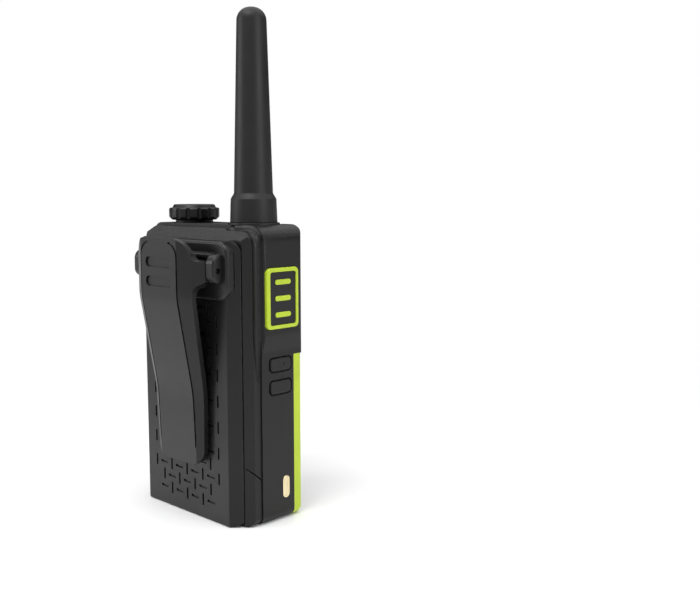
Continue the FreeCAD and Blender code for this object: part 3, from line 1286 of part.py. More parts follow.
# ================================================================ electronics
def board_notches():
    """Return the notches in the board's edges for the switches and sockets."""
    y0 = BOARD_Y - 1
    y1 = BOARD_Y + BOARD_THICK + 1
    room = BOARD_NOTCH_GAP
    far = HALF_W
    ptt_x = FLANGE_X + PTT_TRAVEL + SWITCH_GAP + SWITCH_DEPTH
    key_x = KEY_FACE_X + SWITCH_DEPTH
    half = SWITCH_HEIGHT / 2 + room
    notches = [box(-far, ptt_x, y0, y1, PTT_CENTRE_Z - half, PTT_CENTRE_Z + half)]
    notches += [box(-far, key_x, y0, y1, z - half, z + half) for z in key_centres()]
    jack = JACK_RADIUS + room
    socket = SOCKET_HEIGHT / 2 + room
    notches.append(box(JACK_FRONT_X - JACK_COLLAR - room, far, y0, y1, JACK_Z - jack, JACK_Z + jack))
    notches.append(box(JACK_FRONT_X - SOCKET_DEPTH, far, y0, y1, SOCKET_Z - socket, SOCKET_Z + socket))
    return notches


def main_board():
    """Main circuit board behind the speaker."""
    corners = rectangle(-BOARD_HALF_W, BOARD_HALF_W, BOARD_LOW_Z, BOARD_HIGH_Z, 2.0)
    return prism("xz", corners, BOARD_Y, BOARD_Y + BOARD_THICK).cut(board_notches())


def rf_shield():
    """Tin screening can on the board."""
    y0 = BOARD_Y + BOARD_THICK
    depth = BAY_FLOOR_Y - BAY_WALL - y0 - 0.4
    can = prism("xz", rectangle(-20, 8, 20, 44, 1.0), y0, y0 + min(depth, 3.0))
    rim = edges_where(can, lambda c: near(c.y, y0 + min(depth, 3.0)))
    return can.makeFillet(0.5, rim)


def speaker():
    """Loudspeaker: basket with magnet, and a coned front."""
    y0 = BOARD_Y - SPEAKER_DEPTH
    profile = [(0, 1.2, 0), (6, 1.2, 0), (SPEAKER_RADIUS - 3.0, 0.2, 0), (SPEAKER_RADIUS, 0.2, 0),
               (SPEAKER_RADIUS, 1.6, 0), (9, 2.8, 0), (9, SPEAKER_DEPTH, 0), (0, SPEAKER_DEPTH, 0)]
    face = Part.Face(rounded_wire("xz", 0, profile))
    cone = face.revolve(vec(0, 0, 0), vec(0, 0, 1), 360)
    cone.rotate(vec(0, 0, 0), vec(1, 0, 0), -90)
    cone.translate(vec(0, y0, SPEAKER_Z))
    return cone


def microphone():
    """Microphone capsule behind the front wall."""
    return rod_y(MIC_RADIUS, BOARD_Y - 2.2, BOARD_Y, MIC_X, MIC_Z)


def lamp():
    """Clear light guide of the transmit lamp."""
    guide = rod_y(LED_RADIUS, FRONT_Y + 0.2, TRIM_FRONT_Y + WALL * 1.5, 0, LED_Z)
    return guide.makeFillet(0.3, edges_where(guide, lambda c: near(c.y, FRONT_Y + 0.2)))


def seal_ring():
    """Soft seal inside the joint of the two housings."""
    y0 = PARTING_Y - SEAL_DEPTH
    outer = prism("xz", body_outline(WALL), y0, PARTING_Y)
    inner = prism("xz", body_outline(WALL + 1.0), y0 - 1, PARTING_Y + 1)
    return outer.cut(inner)


PIECES = {
    "front_housing": front_housing,
    "rear_frame": rear_frame,
    "lime_trim": lime_trim,
    "speaker_panel": speaker_panel,
    "seal_ring": seal_ring,
    "speaker": speaker,
    "microphone": microphone,
    "lamp_guide": lamp,
    "main_board": main_board,
    "rf_shield": rf_shield,
    "antenna_whip": antenna_whip,
    "antenna_flange": antenna_flange,
    "antenna_stud": antenna_stud,
    "antenna_nut": antenna_nut,
    "volume_knob": volume_knob,
    "knob_shaft": knob_shaft,
    "knob_control": knob_control,
    "knob_nut": knob_nut,
    "ptt_frame": ptt_frame,
    "ptt_insert": ptt_insert,
    "ptt_bars": ptt_bars,
    "ptt_switch": ptt_switch,
    "key_upper": key_upper,
    "key_lower": key_lower,
    "key_switches": key_switches,
    "port_flap": port_flap,
    "flap_anchor": flap_anchor,
    "headset_jack": headset_jack,
    "charge_socket": charge_socket,
    "side_contacts": side_contacts,
    "battery_cover": battery_cover,
    "battery_cells": battery_cells,
    "cell_contacts": cell_contacts,
    "clip_mount": clip_mount,
    "mount_screws": mount_screws,
    "clip_pin": clip_pin,
    "clip_spring": clip_spring,
    "belt_clip": belt_clip,
    "housing_screws": lambda: screw_set(0.0),
}


def main():
    """Build every piece and write it to parts/."""
    os.makedirs("parts", exist_ok=True)
    for name, build in PIECES.items():
        shape = build()
        solids = shape.Solids
        if not solids or not shape.isValid():
            raise ValueError(f"{name} is not a sound solid")
        out = solids[0] if len(solids) == 1 else Part.makeCompound(solids)
        out.exportStep(f"parts/{name}.step")
        print(f"{name}: {len(solids)} solid(s), {sum(s.Volume for s in solids):.0f} mm3")


main()
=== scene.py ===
"""Looks of a compact two-way radio: its mouldings, rubber, metal and studio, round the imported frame."""
import logging
import math
from abc import ABC, abstractmethod
from collections.abc import Callable, Iterable, Sequence
from dataclasses import dataclass
from enum import Enum
from typing import ClassVar

import bmesh
import bpy
from mathutils import Matrix, Vector


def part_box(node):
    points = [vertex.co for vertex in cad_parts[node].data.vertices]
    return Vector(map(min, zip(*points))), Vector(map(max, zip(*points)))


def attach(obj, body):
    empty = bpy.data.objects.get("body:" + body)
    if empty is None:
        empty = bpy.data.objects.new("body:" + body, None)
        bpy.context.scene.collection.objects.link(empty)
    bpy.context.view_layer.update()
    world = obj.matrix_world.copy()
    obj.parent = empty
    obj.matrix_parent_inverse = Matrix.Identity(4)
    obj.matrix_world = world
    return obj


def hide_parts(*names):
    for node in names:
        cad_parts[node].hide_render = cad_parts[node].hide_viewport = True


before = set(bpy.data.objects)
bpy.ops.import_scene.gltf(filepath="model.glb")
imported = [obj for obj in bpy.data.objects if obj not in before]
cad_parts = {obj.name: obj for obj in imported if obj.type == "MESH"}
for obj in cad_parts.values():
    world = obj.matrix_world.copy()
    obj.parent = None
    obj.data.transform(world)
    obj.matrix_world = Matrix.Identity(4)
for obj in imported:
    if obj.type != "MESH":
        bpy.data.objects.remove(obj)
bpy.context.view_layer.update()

LOG = logging.getLogger("radio")
MM = 0.001
MERGE = 0.002 * MM              # corners this close count as one
SHARP = 32.0                    # edges that turn by more stay sharp, in degrees
COIL_STEPS = 40                 # points along one turn of the spring
WIRE_SIDES = 12
DUST = (0.45, 0.44, 0.42)
DARK_SHARE = 0.86               # darkest mottle, as a share of the colour
FLAT_TURN = 0.6                 # neighbours that turn by less are one flat region, in degrees
LEAST_AREA = 1e-6
CAMERA_PLACE = (-0.2537, 0.2001, 0.1117)
CAMERA_WAY = (0.6824, -0.7217, -0.1153)

Colour = tuple[float, float, float]
Corner = tuple[float, float, float]


# ------------------------------------------------------------------ finishes
class Texture(Enum):
    """Fine surface textures of the radio's materials."""

    MOULDED = "moulded"
    BRUSHED = "brushed"


class Graph:
    """A node tree in the making."""

    def __init__(self, tree: bpy.types.NodeTree) -> None:
        """Take the tree that nodes are added to.

        Args:
            tree: The node tree.
        """
        self.tree = tree

    def put(self, socket: bpy.types.NodeSocket, value: object) -> None:
        """Link a socket to an input, or set the input's own value.

        Args:
            socket: The input.
            value: The socket or the value that it takes.
        """
        if isinstance(value, bpy.types.NodeSocket):
            self.tree.links.new(value, socket)
        else:
            socket.default_value = value

    def node(self, kind: str, **inputs: object) -> bpy.types.Node:
        """Add a node and fill its inputs.

        Args:
            kind: The node's type.
            inputs: Values or sockets by input name, with _ for a space.

        Returns:
            The node.
        """
        node = self.tree.nodes.new(kind)
        for name, value in inputs.items():
            self.put(node.inputs[name.replace("_", " ")], value)
        return node

    def math(self, operation: str, first: object, second: object = 0.0) -> bpy.types.NodeSocket:
        """Add a math node.

        Args:
            operation: The math operation.
            first: The first value or socket.
            second: The second value or socket.

        Returns:
            The result's socket.
        """
        node = self.tree.nodes.new("ShaderNodeMath")
        node.operation = operation
        self.put(node.inputs[0], first)
        self.put(node.inputs[1], second)
        return node.outputs[0]

    def vector(self, operation: str, first: object, second: object = (0.0, 0.0, 0.0)) -> bpy.types.Node:
        """Add a vector math node.

        Args:
            operation: The vector operation.
            first: The first vector or socket.
            second: The second vector or socket.

        Returns:
            The node, whose result is in Vector or Value.
        """
        node = self.tree.nodes.new("ShaderNodeVectorMath")
        node.operation = operation
        self.put(node.inputs[0], first)
        self.put(node.inputs[1], second)
        return node

    def ramp(self, value: object, low: float, high: float) -> bpy.types.NodeSocket:
        """Stretch a value so that low gives 0 and high gives 1, held between.

        Args:
            value: The value or socket.
            low: What gives 0.
            high: What gives 1.

        Returns:
            The result's socket.
        """
        node = self.node("ShaderNodeMapRange", Value=value, From_Min=low, From_Max=high)
        node.clamp = True
        return node.outputs["Result"]

    def mix(self, share: object, first: object, second: object) -> bpy.types.NodeSocket:
        """Mix two colours by a share.

        Args:
            share: The share of the second colour.
            first: The first colour or socket.
            second: The second colour or socket.

        Returns:
            The mixed colour's socket.
        """
        node = self.tree.nodes.new("ShaderNodeMix")
        node.data_type = "RGBA"
        self.put(node.inputs["Factor"], share)
        for key, value in (("A", first), ("B", second)):
            socket = next(s for s in node.inputs if s.name == key and s.type == "RGBA")
            self.put(socket, (*value, 1.0) if isinstance(value, tuple) else value)
        return next(s for s in node.outputs if s.type == "RGBA")


class ShaderGroup(Graph):
    """A shader node group with named inputs and outputs, built once."""

    def __init__(self, name: str) -> None:
        """Start an empty group.

        Args:
            name: The group's name.
        """
        super().__init__(bpy.data.node_groups.new(name, "ShaderNodeTree"))
        self.source = self.tree.nodes.new("NodeGroupInput")
        self.sink = self.tree.nodes.new("NodeGroupOutput")

    def add_input(self, name: str, value: float) -> bpy.types.NodeSocket:
        """Add a number input.

        Args:
            name: The socket's name.
            value: Its default value.

        Returns:
            The socket inside the group.
        """
        made = self.tree.interface.new_socket(name, in_out="INPUT", socket_type="NodeSocketFloat")
        made.default_value = value
        return self.source.outputs[name]

    def add_output(self, name: str, value: bpy.types.NodeSocket) -> None:
        """Add a number output fed by a socket.

        Args:
            name: The output's name.
            value: The socket that feeds it.
        """
        self.tree.interface.new_socket(name, in_out="OUTPUT", socket_type="NodeSocketFloat")
        self.tree.links.new(value, self.sink.inputs[name])


def grain_group() -> ShaderGroup:
    """Build the group for moulded grain: a fine relief, and a soft mottle.

    Returns:
        The group.
    """
    group = ShaderGroup("moulded_grain")
    pitch = group.add_input("Pitch", 0.3 * MM)
    spread = group.add_input("Mottle Pitch", 9 * MM)
    place = group.node("ShaderNodeTexCoord").outputs["Object"]
    fine = group.node("ShaderNodeTexNoise", Vector=place, Scale=group.math("DIVIDE", 1.0, pitch), Detail=3.0)
    cells = group.node("ShaderNodeTexVoronoi", Vector=place, Scale=group.math("DIVIDE", 0.6, pitch))
    relief = group.math("ADD", group.math("MULTIPLY", fine.outputs["Fac"], 0.7),
                        group.math("MULTIPLY", cells.outputs["Distance"], 0.3))
    soft = group.node("ShaderNodeTexNoise", Vector=place, Detail=4.0,
                      Scale=group.math("DIVIDE", 1.0, spread))
    group.add_output("Height", relief)
    group.add_output("Mottle", group.ramp(soft.outputs["Fac"], 0.3, 0.7))
    return group


def brushed_group() -> ShaderGroup:
    """Build the group for drawn or turned metal: streaks along one direction.

    Returns:
        The group.
    """
    group = ShaderGroup("brushed_streaks")
    pitch = group.add_input("Pitch", 0.12 * MM)
    place = group.node("ShaderNodeTexCoord").outputs["Object"]
    stretched = group.node("ShaderNodeMapping", Vector=place)
    stretched.inputs["Scale"].default_value = (1.0, 1.0, 0.06)
    streaks = group.node("ShaderNodeTexNoise", Vector=stretched.outputs[0],
                         Scale=group.math("DIVIDE", 1.0, pitch), Detail=2.0)
    group.add_output("Height", streaks.outputs["Fac"])
    group.add_output("Mottle", group.ramp(streaks.outputs["Fac"], 0.35, 0.65))
    return group


def wear_group() -> ShaderGroup:
    """Build the group for rubbed edges: a mask along convex edges, broken up.

    Returns:
        The group.
    """
    group = ShaderGroup("edge_wear")
    amount = group.add_input("Amount", 0.4)
    width = group.add_input("Width", 0.25 * MM)
    surface = group.node("ShaderNodeNewGeometry").outputs["Normal"]
    eased = group.node("ShaderNodeBevel", Radius=width)
    eased.samples = 4
    turn = group.vector("DOT_PRODUCT", eased.outputs["Normal"], surface)
    place = group.node("ShaderNodeTexCoord").outputs["Object"]
    breaks = group.node("ShaderNodeTexNoise", Vector=place, Scale=420.0, Detail=5.0).outputs["Fac"]
    edge = group.ramp(group.math("SUBTRACT", 1.0, turn.outputs["Value"]), 0.02, 0.2)
    mask = group.math("MULTIPLY", edge, group.ramp(breaks, 0.35, 0.65))
    group.add_output("Mask", group.math("MULTIPLY", mask, amount))
    return group


def dust_group() -> ShaderGroup:
    """Build the group for settled dust: a mask on faces that look up.

    Returns:
        The group.
    """
    group = ShaderGroup("settled_dust")
    amount = group.add_input("Amount", 0.1)
    normal = group.node("ShaderNodeNewGeometry").outputs["Normal"]
    upward = group.node("ShaderNodeSeparateXYZ", Vector=normal).outputs["Z"]
    place = group.node("ShaderNodeTexCoord").outputs["Object"]
    specks = group.node("ShaderNodeTexNoise", Vector=place, Scale=900.0, Detail=6.0).outputs["Fac"]
    mask = group.math("MULTIPLY", group.ramp(upward, 0.1, 1.0), group.ramp(specks, 0.45, 0.75))
    group.add_output("Mask", group.math("MULTIPLY", mask, amount))
    return group


class Groups:
    """The shader groups that the finishes share, built on first use."""

    made: ClassVar[dict[str, ShaderGroup]] = {}
    makers: ClassVar[dict[str, Callable[[], ShaderGroup]]] = {
        "grain": grain_group, "brushed": brushed_group, "wear": wear_group, "dust": dust_group,
    }

    @classmethod
    def place(cls, graph: Graph, name: str, **inputs: object) -> bpy.types.Node:
        """Place a group in a material.

        Args:
            graph: The material's node tree.
            name: The group's short name.
            inputs: Its values by input name.

        Returns:
            The group node.
        """
        if name not in cls.made:
            cls.made[name] = cls.makers[name]()
        node = graph.tree.nodes.new("ShaderNodeGroup")
        node.node_tree = cls.made[name].tree
        for key, value in inputs.items():
            graph.put(node.inputs[key], value)
        return node


@dataclass(frozen=True)
class Finish:
    """One finish of the radio: its colour, gloss, texture, wear and dust."""

    name: str
    slot: str
    colour: Colour
    roughness: float
    texture: Texture = Texture.MOULDED
    grain: float = 0.3 * MM
    relief: float = 0.012 * MM
    mottle: float = 0.06
    metallic: float = 0.0
    coat: float = 0.0
    specular: float = 0.35
    wear: float = 0.25
    worn: Colour = (0.16, 0.16, 0.165)
    dust: float = 0.05
    clear: float = 0.0

    def material(self) -> bpy.types.Material:
        """Return the finish's material, built on first use."""
        found = bpy.data.materials.get(f"{self.name}_finish")
        return found if found else self.build()

    def build(self) -> bpy.types.Material:
        """Build the finish's material from the shared groups.

        Returns:
            The material.
        """
        made = bpy.data.materials.new(f"{self.name}_finish")
        made.use_nodes = True
        graph = Graph(made.node_tree)
        shader = graph.tree.nodes["Principled BSDF"]
        self.set_constants(shader)
        kind = "brushed" if self.texture is Texture.BRUSHED else "grain"
        texture = Groups.place(graph, kind, Pitch=self.grain)
        graph.put(shader.inputs["Base Color"], self.colours(graph, texture.outputs["Mottle"]))
        swing = graph.math("MULTIPLY", texture.outputs["Mottle"], self.mottle)
        graph.put(shader.inputs["Roughness"], graph.math("ADD", swing, self.roughness - self.mottle / 2))
        bump = graph.node("ShaderNodeBump", Height=texture.outputs["Height"], Distance=self.relief,
                          Strength=1.0)
        graph.put(shader.inputs["Normal"], bump.outputs["Normal"])
        return made

    def set_constants(self, shader: bpy.types.Node) -> None:
        """Set what is the same all over on the shader's own sockets.

        Args:
            shader: The material's shader.
        """
        shader.inputs["Metallic"].default_value = self.metallic
        shader.inputs["Coat Weight"].default_value = self.coat
        shader.inputs["Specular IOR Level"].default_value = self.specular
        shader.inputs["Transmission Weight"].default_value = self.clear

    def colours(self, graph: Graph, mottle: bpy.types.NodeSocket) -> bpy.types.NodeSocket:
        """Return the colour socket: base, mottled, then worn at edges and dusted.

        Args:
            graph: The material's node tree.
            mottle: The soft mottle's socket.

        Returns:
            The colour's socket.
        """
        darker = tuple(c * DARK_SHARE for c in self.colour)
        base = graph.mix(mottle, darker, self.colour)
        rubbed = Groups.place(graph, "wear", Amount=self.wear).outputs["Mask"]
        dusted = Groups.place(graph, "dust", Amount=self.dust).outputs["Mask"]
        return graph.mix(dusted, graph.mix(rubbed, base, self.worn), DUST)


BODY_BLACK = Finish("body_black", "body_black", (0.0052, 0.0052, 0.0055), 0.42)
COVER_BLACK = Finish("cover_black", "cover_black", (0.0045, 0.0045, 0.0048), 0.4)
CLIP_BLACK = Finish("clip_black", "clip_plastic", (0.0085, 0.0085, 0.009), 0.38, grain=0.35 * MM,
                    relief=0.008 * MM)
KNOB_BLACK = Finish("knob_black", "knob_plastic", (0.007, 0.007, 0.0075), 0.36, relief=0.006 * MM)
KEY_BLACK = Finish("key_black", "key_rubber", (0.011, 0.011, 0.0115), 0.6, relief=0.01 * MM)
RUBBER = Finish("soft_black", "soft_rubber", (0.009, 0.009, 0.0092), 0.5, grain=0.22 * MM, relief=0.007 * MM)
LIME = Finish("lime_plastic", "lime_plastic", (0.47, 0.61, 0.03), 0.34, relief=0.004 * MM, coat=0.15,
              worn=(0.62, 0.72, 0.2), wear=0.3)
GOLD = Finish("gold_contact", "gold_contact", (0.86, 0.74, 0.46), 0.3, Texture.BRUSHED, metallic=1.0,
              relief=0.002 * MM, worn=(0.6, 0.5, 0.3), dust=0.0)
STEEL = Finish("steel_parts", "steel_parts", (0.5, 0.5, 0.51), 0.28, Texture.BRUSHED, metallic=1.0,
               relief=0.003 * MM, worn=(0.7, 0.7, 0.7), dust=0.0)
DARK_METAL = Finish("dark_metal", "dark_metal", (0.03, 0.03, 0.032), 0.35, Texture.BRUSHED, metallic=0.8,
                    relief=0.003 * MM, worn=(0.3, 0.3, 0.3))
TIN = Finish("tin_plate", "tin_plate", (0.66, 0.66, 0.63), 0.36, Texture.BRUSHED, metallic=1.0,
             relief=0.003 * MM, worn=(0.8, 0.8, 0.78), dust=0.0)
BOARD = Finish("board_laminate", "board_laminate", (0.012, 0.09, 0.04), 0.3, coat=0.3, relief=0.004 * MM,
               worn=(0.3, 0.26, 0.12))
SWITCH = Finish("switch_plastic", "switch_plastic", (0.03, 0.03, 0.034), 0.45)
CONE = Finish("speaker_cone", "speaker_cone", (0.03, 0.03, 0.03), 0.75, relief=0.03 * MM)
LENS = Finish("clear_lens", "clear_lens", (0.8, 0.84, 0.84), 0.12, relief=0.001 * MM, clear=0.8, wear=0.0)
SLEEVE = Finish("cell_wrap", "cell_wrap", (0.07, 0.075, 0.085), 0.26, coat=0.4, relief=0.002 * MM, wear=0.15)
BAND = Finish("cell_band", "cell_wrap", (0.62, 0.63, 0.66), 0.3, coat=0.3, relief=0.002 * MM, wear=0.1)


# ------------------------------------------------------------------ geometry trees
class ShapeTree(Graph):
    """A geometry node tree with named inputs, ending in real mesh and a material."""

    def __init__(self, name: str) -> None:
        """Start a tree that takes and gives a geometry.

        Args:
            name: The tree's name.
        """
        super().__init__(bpy.data.node_groups.new(name, "GeometryNodeTree"))
        face = self.tree.interface
        face.new_socket("Geometry", in_out="INPUT", socket_type="NodeSocketGeometry")
        face.new_socket("Geometry", in_out="OUTPUT", socket_type="NodeSocketGeometry")
        self.source = self.tree.nodes.new("NodeGroupInput")
        self.sink = self.tree.nodes.new("NodeGroupOutput")

    @property
    def geometry(self) -> bpy.types.NodeSocket:
        """Return the geometry that the tree is given."""
        return self.source.outputs["Geometry"]

    def add_input(self, name: str, kind: str = "NodeSocketFloat") -> bpy.types.NodeSocket:
        """Add a named input.

        Args:
            name: The input's name.
            kind: Its socket type.

        Returns:
            Its socket inside the tree.
        """
        self.tree.interface.new_socket(name, in_out="INPUT", socket_type=kind)
        return self.source.outputs[name]

    def close(self, geometry: bpy.types.NodeSocket) -> "ShapeTree":
        """End the tree: real mesh, then its material.

        Args:
            geometry: The finished geometry.

        Returns:
            The tree itself.
        """
        real = self.node("GeometryNodeRealizeInstances", Geometry=geometry).outputs[0]
        finish = self.add_input("Material", "NodeSocketMaterial")
        dressed = self.node("GeometryNodeSetMaterial", Geometry=real, Material=finish).outputs[0]
        self.tree.links.new(dressed, self.sink.inputs["Geometry"])
        return self


def turned_tree() -> ShapeTree:
    """Build the tree that turns a profile about a vertical axis.

    Returns:
        The tree.
    """
    shape = ShapeTree("turned_form")
    segments = shape.add_input("Segments", "NodeSocketInt")
    centre = shape.add_input("Centre", "NodeSocketVector")
    count = shape.node("GeometryNodeAttributeDomainSize", Geometry=shape.geometry).outputs["Point Count"]
    grid = shape.node("GeometryNodeMeshGrid", Vertices_X=shape.math("ADD", segments, 1), Vertices_Y=count)
    index = shape.node("GeometryNodeInputIndex").outputs[0]
    ring = shape.math("FLOORED_MODULO", index, count)
    column = shape.math("FLOOR", shape.math("DIVIDE", shape.math("ADD", index, 0.5), count))
    sample = shape.tree.nodes.new("GeometryNodeSampleIndex")
    sample.data_type = "FLOAT_VECTOR"
    shape.put(sample.inputs["Geometry"], shape.geometry)
    shape.put(sample.inputs["Value"], shape.node("GeometryNodeInputPosition").outputs[0])
    shape.put(sample.inputs["Index"], ring)
    point = shape.node("ShaderNodeSeparateXYZ", Vector=sample.outputs["Value"])
    angle = shape.math("MULTIPLY", shape.math("DIVIDE", column, segments), math.tau)
    across = shape.math("MULTIPLY", point.outputs["X"], shape.math("COSINE", angle))
    along = shape.math("MULTIPLY", point.outputs["X"], shape.math("SINE", angle))
    placed = shape.node("ShaderNodeCombineXYZ", X=across, Y=along, Z=point.outputs["Z"]).outputs[0]
    moved = shape.vector("ADD", placed, centre).outputs[0]
    formed = shape.node("GeometryNodeSetPosition", Geometry=grid.outputs["Mesh"], Position=moved)
    merged = shape.node("GeometryNodeMergeByDistance", Geometry=formed.outputs[0], Distance=MERGE)
    return shape.close(merged.outputs[0])


def coil_tree() -> ShapeTree:
    """Build the tree that winds a wire coil along X and adds the wire of given lines.

    Returns:
        The tree.
    """
    shape = ShapeTree("wire_coil")
    turns = shape.add_input("Turns")
    radius = shape.add_input("Radius")
    length = shape.add_input("Length")
    wire = shape.add_input("Wire Radius")
    centre = shape.add_input("Centre", "NodeSocketVector")
    spiral = shape.node("GeometryNodeCurveSpiral", Resolution=COIL_STEPS, Rotations=turns,
                        Start_Radius=radius, End_Radius=radius, Height=length).outputs[0]
    along_x = (0.0, math.pi / 2, 0.0)
    laid = shape.node("GeometryNodeTransform", Geometry=spiral, Rotation=along_x).outputs[0]
    shift = shape.node("ShaderNodeCombineXYZ", X=shape.math("MULTIPLY", length, -0.5)).outputs[0]
    middle = shape.vector("ADD", shift, centre).outputs[0]
    laid = shape.node("GeometryNodeTransform", Geometry=laid, Translation=middle).outputs[0]
    legs = shape.node("GeometryNodeMeshToCurve", Mesh=shape.geometry).outputs[0]
    joined = shape.tree.nodes.new("GeometryNodeJoinGeometry")
    shape.tree.links.new(laid, joined.inputs[0])
    shape.tree.links.new(legs, joined.inputs[0])
    ring = shape.node("GeometryNodeCurvePrimitiveCircle", Resolution=WIRE_SIDES, Radius=wire).outputs[0]
    swept = shape.node("GeometryNodeCurveToMesh", Curve=joined.outputs[0], Profile_Curve=ring,
                       Fill_Caps=True)
    return shape.close(swept.outputs[0])


def repeat_tree() -> ShapeTree:
    """Build the tree that puts one part at every given point, every other one turned over.

    Returns:
        The tree.
    """
    shape = ShapeTree("repeated_part")
    part = shape.add_input("Part", "NodeSocketObject")
    info = shape.node("GeometryNodeObjectInfo", Object=part).outputs["Geometry"]
    index = shape.node("GeometryNodeInputIndex").outputs[0]
    angle = shape.math("MULTIPLY", shape.math("FLOORED_MODULO", index, 2.0), math.pi)
    rotation = shape.node("ShaderNodeCombineXYZ", X=angle).outputs[0]
    placed = shape.node("GeometryNodeInstanceOnPoints", Points=shape.geometry, Instance=info,
                        Rotation=rotation)
    return shape.close(placed.outputs[0])


def grow(shape: ShapeTree, name: str, base: bpy.types.Mesh, finish: Finish,
         **values: object) -> bpy.types.Object:
    """Run a geometry tree on a mesh and keep its result as a plain mesh.

    Args:
        shape: The tree.
        name: The piece's name.
        base: The mesh that the tree is given.
        finish: The piece's finish.
        values: The tree's inputs by name, with _ for a space.

    Returns:
        The piece, with no modifier left.
    """
    piece = new_object(name, base)
    modifier = piece.modifiers.new("shape", "NODES")
    modifier.node_group = shape.tree
    wanted = {key.replace("_", " "): value for key, value in values.items()}
    wanted["Material"] = finish.material()
    for item in shape.tree.interface.items_tree:
        if item.in_out == "INPUT" and item.name in wanted:
            modifier[item.identifier] = wanted[item.name]
    tidy_normals(applied(piece, modifier))
    return piece


# ------------------------------------------------------------------ mesh helpers
def new_object(name: str, mesh: bpy.types.Mesh) -> bpy.types.Object:
    """Put a mesh in the scene as an object at the origin.

    Args:
        name: The object's name.
        mesh: Its mesh.

    Returns:
        The object.
    """
    piece = bpy.data.objects.new(name, mesh)
    bpy.context.scene.collection.objects.link(piece)
    return piece


def mesh_of(name: str, points: Sequence[Sequence[float]], edges: Sequence[tuple[int, int]] = (),
            faces: Sequence[Sequence[int]] = ()) -> bpy.types.Mesh:
    """Return a mesh of points, edges and faces.

    Args:
        name: The mesh's name.
        points: The points' places.
        edges: Pairs of point numbers.
        faces: Rings of point numbers.

    Returns:
        The mesh.
    """
    mesh = bpy.data.meshes.new(name)
    mesh.from_pydata([tuple(p) for p in points], list(edges), [tuple(f) for f in faces])
    return mesh


def tidy_normals(mesh: bpy.types.Mesh) -> None:
    """Merge doubles, point the faces outwards and smooth all but sharp edges.

    Args:
        mesh: The mesh.
    """
    work = bmesh.new()
    work.from_mesh(mesh)
    bmesh.ops.remove_doubles(work, verts=work.verts, dist=MERGE / 2)
    bmesh.ops.recalc_face_normals(work, faces=work.faces)
    work.to_mesh(mesh)
    work.free()
    mesh.shade_smooth()
    mesh.set_sharp_from_angle(angle=math.radians(SHARP))


def rounded(corners: Sequence[Corner], steps: int) -> list[tuple[float, float]]:
    """Return a profile through corners (radius, height, rounding), rounded by arcs.

    Args:
        corners: The corners in order; the first and the last stay sharp.
        steps: Points along each rounding.

    Returns:
        The profile's points.
    """
    points = [(corners[0][0], corners[0][1])]
    for before, corner, after in zip(corners, corners[1:], corners[2:]):
        points += round_corner(Vector(before[:2]), Vector(corner[:2]), Vector(after[:2]), corner[2], steps)
    return points + [(corners[-1][0], corners[-1][1])]


def round_corner(before: Vector, corner: Vector, after: Vector, radius: float,
                 steps: int) -> list[tuple[float, float]]:
    """Return the points of one rounded corner.

    Args:
        before: The corner before it.
        corner: The corner.
        after: The corner after it.
        radius: The rounding's radius.
        steps: Points along the rounding.

    Returns:
        The points, or the corner itself where there is no rounding.
    """
    back = (before - corner).normalized()
    onward = (after - corner).normalized()
    half = back.angle(onward) / 2
    if radius == 0 or half > math.pi / 2 - 1e-3:
        return [tuple(corner)]
    reach = radius / math.tan(half)
    start = corner + back * reach
    end = corner + onward * reach
    middle = corner + (back + onward).normalized() * (radius / math.sin(half))
    sweep = (start - middle).angle_signed(end - middle)
    turned = [Matrix.Rotation(-sweep * i / steps, 2) @ (start - middle) + middle for i in range(steps + 1)]
    return [tuple(p) for p in turned]


def profile_mesh(name: str, corners: Sequence[Corner], steps: int) -> bpy.types.Mesh:
    """Return a profile as a line of points in the XZ plane.

    Args:
        name: The mesh's name.
        corners: The corners (radius, height, rounding) in order.
        steps: Points along each rounding.

    Returns:
        The mesh.
    """
    return mesh_of(name, [(r, 0.0, z) for r, z in rounded(corners, steps)])


# ------------------------------------------------------------------ assemblies
@dataclass
class Assembly(ABC):
    """A group of pieces that ride on one CAD body."""

    body: str

    @abstractmethod
    def build(self) -> None:
        """Build the assembly's pieces."""

    def keep(self, piece: bpy.types.Object, finish: Finish, *nodes: str) -> bpy.types.Object:
        """Attach a piece to its body and hide the CAD nodes it stands for.

        Args:
            piece: The piece.
            finish: Its finish; not used.
            nodes: The CAD nodes that it replaces.

        Returns:
            The piece.
        """
        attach(piece, self.body)
        if nodes:
            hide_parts(*nodes)
        LOG.info("%s on %s: %d faces", piece.name, self.body, len(piece.data.polygons))
        return piece

    def dress(self, finish: Finish, *nodes: str) -> None:
        """Give CAD nodes that stay as they are their finish.

        Args:
            finish: The finish.
            nodes: The CAD nodes.
        """
        for name in nodes:
            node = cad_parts[name]
            node.data.materials.clear()
            node.data.materials.append(finish.material())
            LOG.info("%s keeps its CAD mesh as %s", name, finish.name)

    def mould(self, node: str, finish: Finish, angle: float = SHARP) -> bpy.types.Object:
        """Make a moulded skin from a CAD node: merged, and smooth but for its edges.

        Args:
            node: The CAD node.
            finish: The skin's finish.
            angle: Edges that turn by more than this count as edges, in degrees.

        Returns:
            The skin, which replaces the node.
        """
        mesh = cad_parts[node].data.copy()
        mesh.materials.clear()
        mesh.materials.append(finish.material())
        work = bmesh.new()
        work.from_mesh(mesh)
        bmesh.ops.remove_doubles(work, verts=work.verts, dist=MERGE)
        work.to_mesh(mesh)
        work.free()
        mesh.shade_smooth()
        mesh.set_sharp_from_angle(angle=math.radians(angle))
        flatten_shading(mesh, angle)
        return self.keep(new_object(f"{node}_skin", mesh), finish, node)


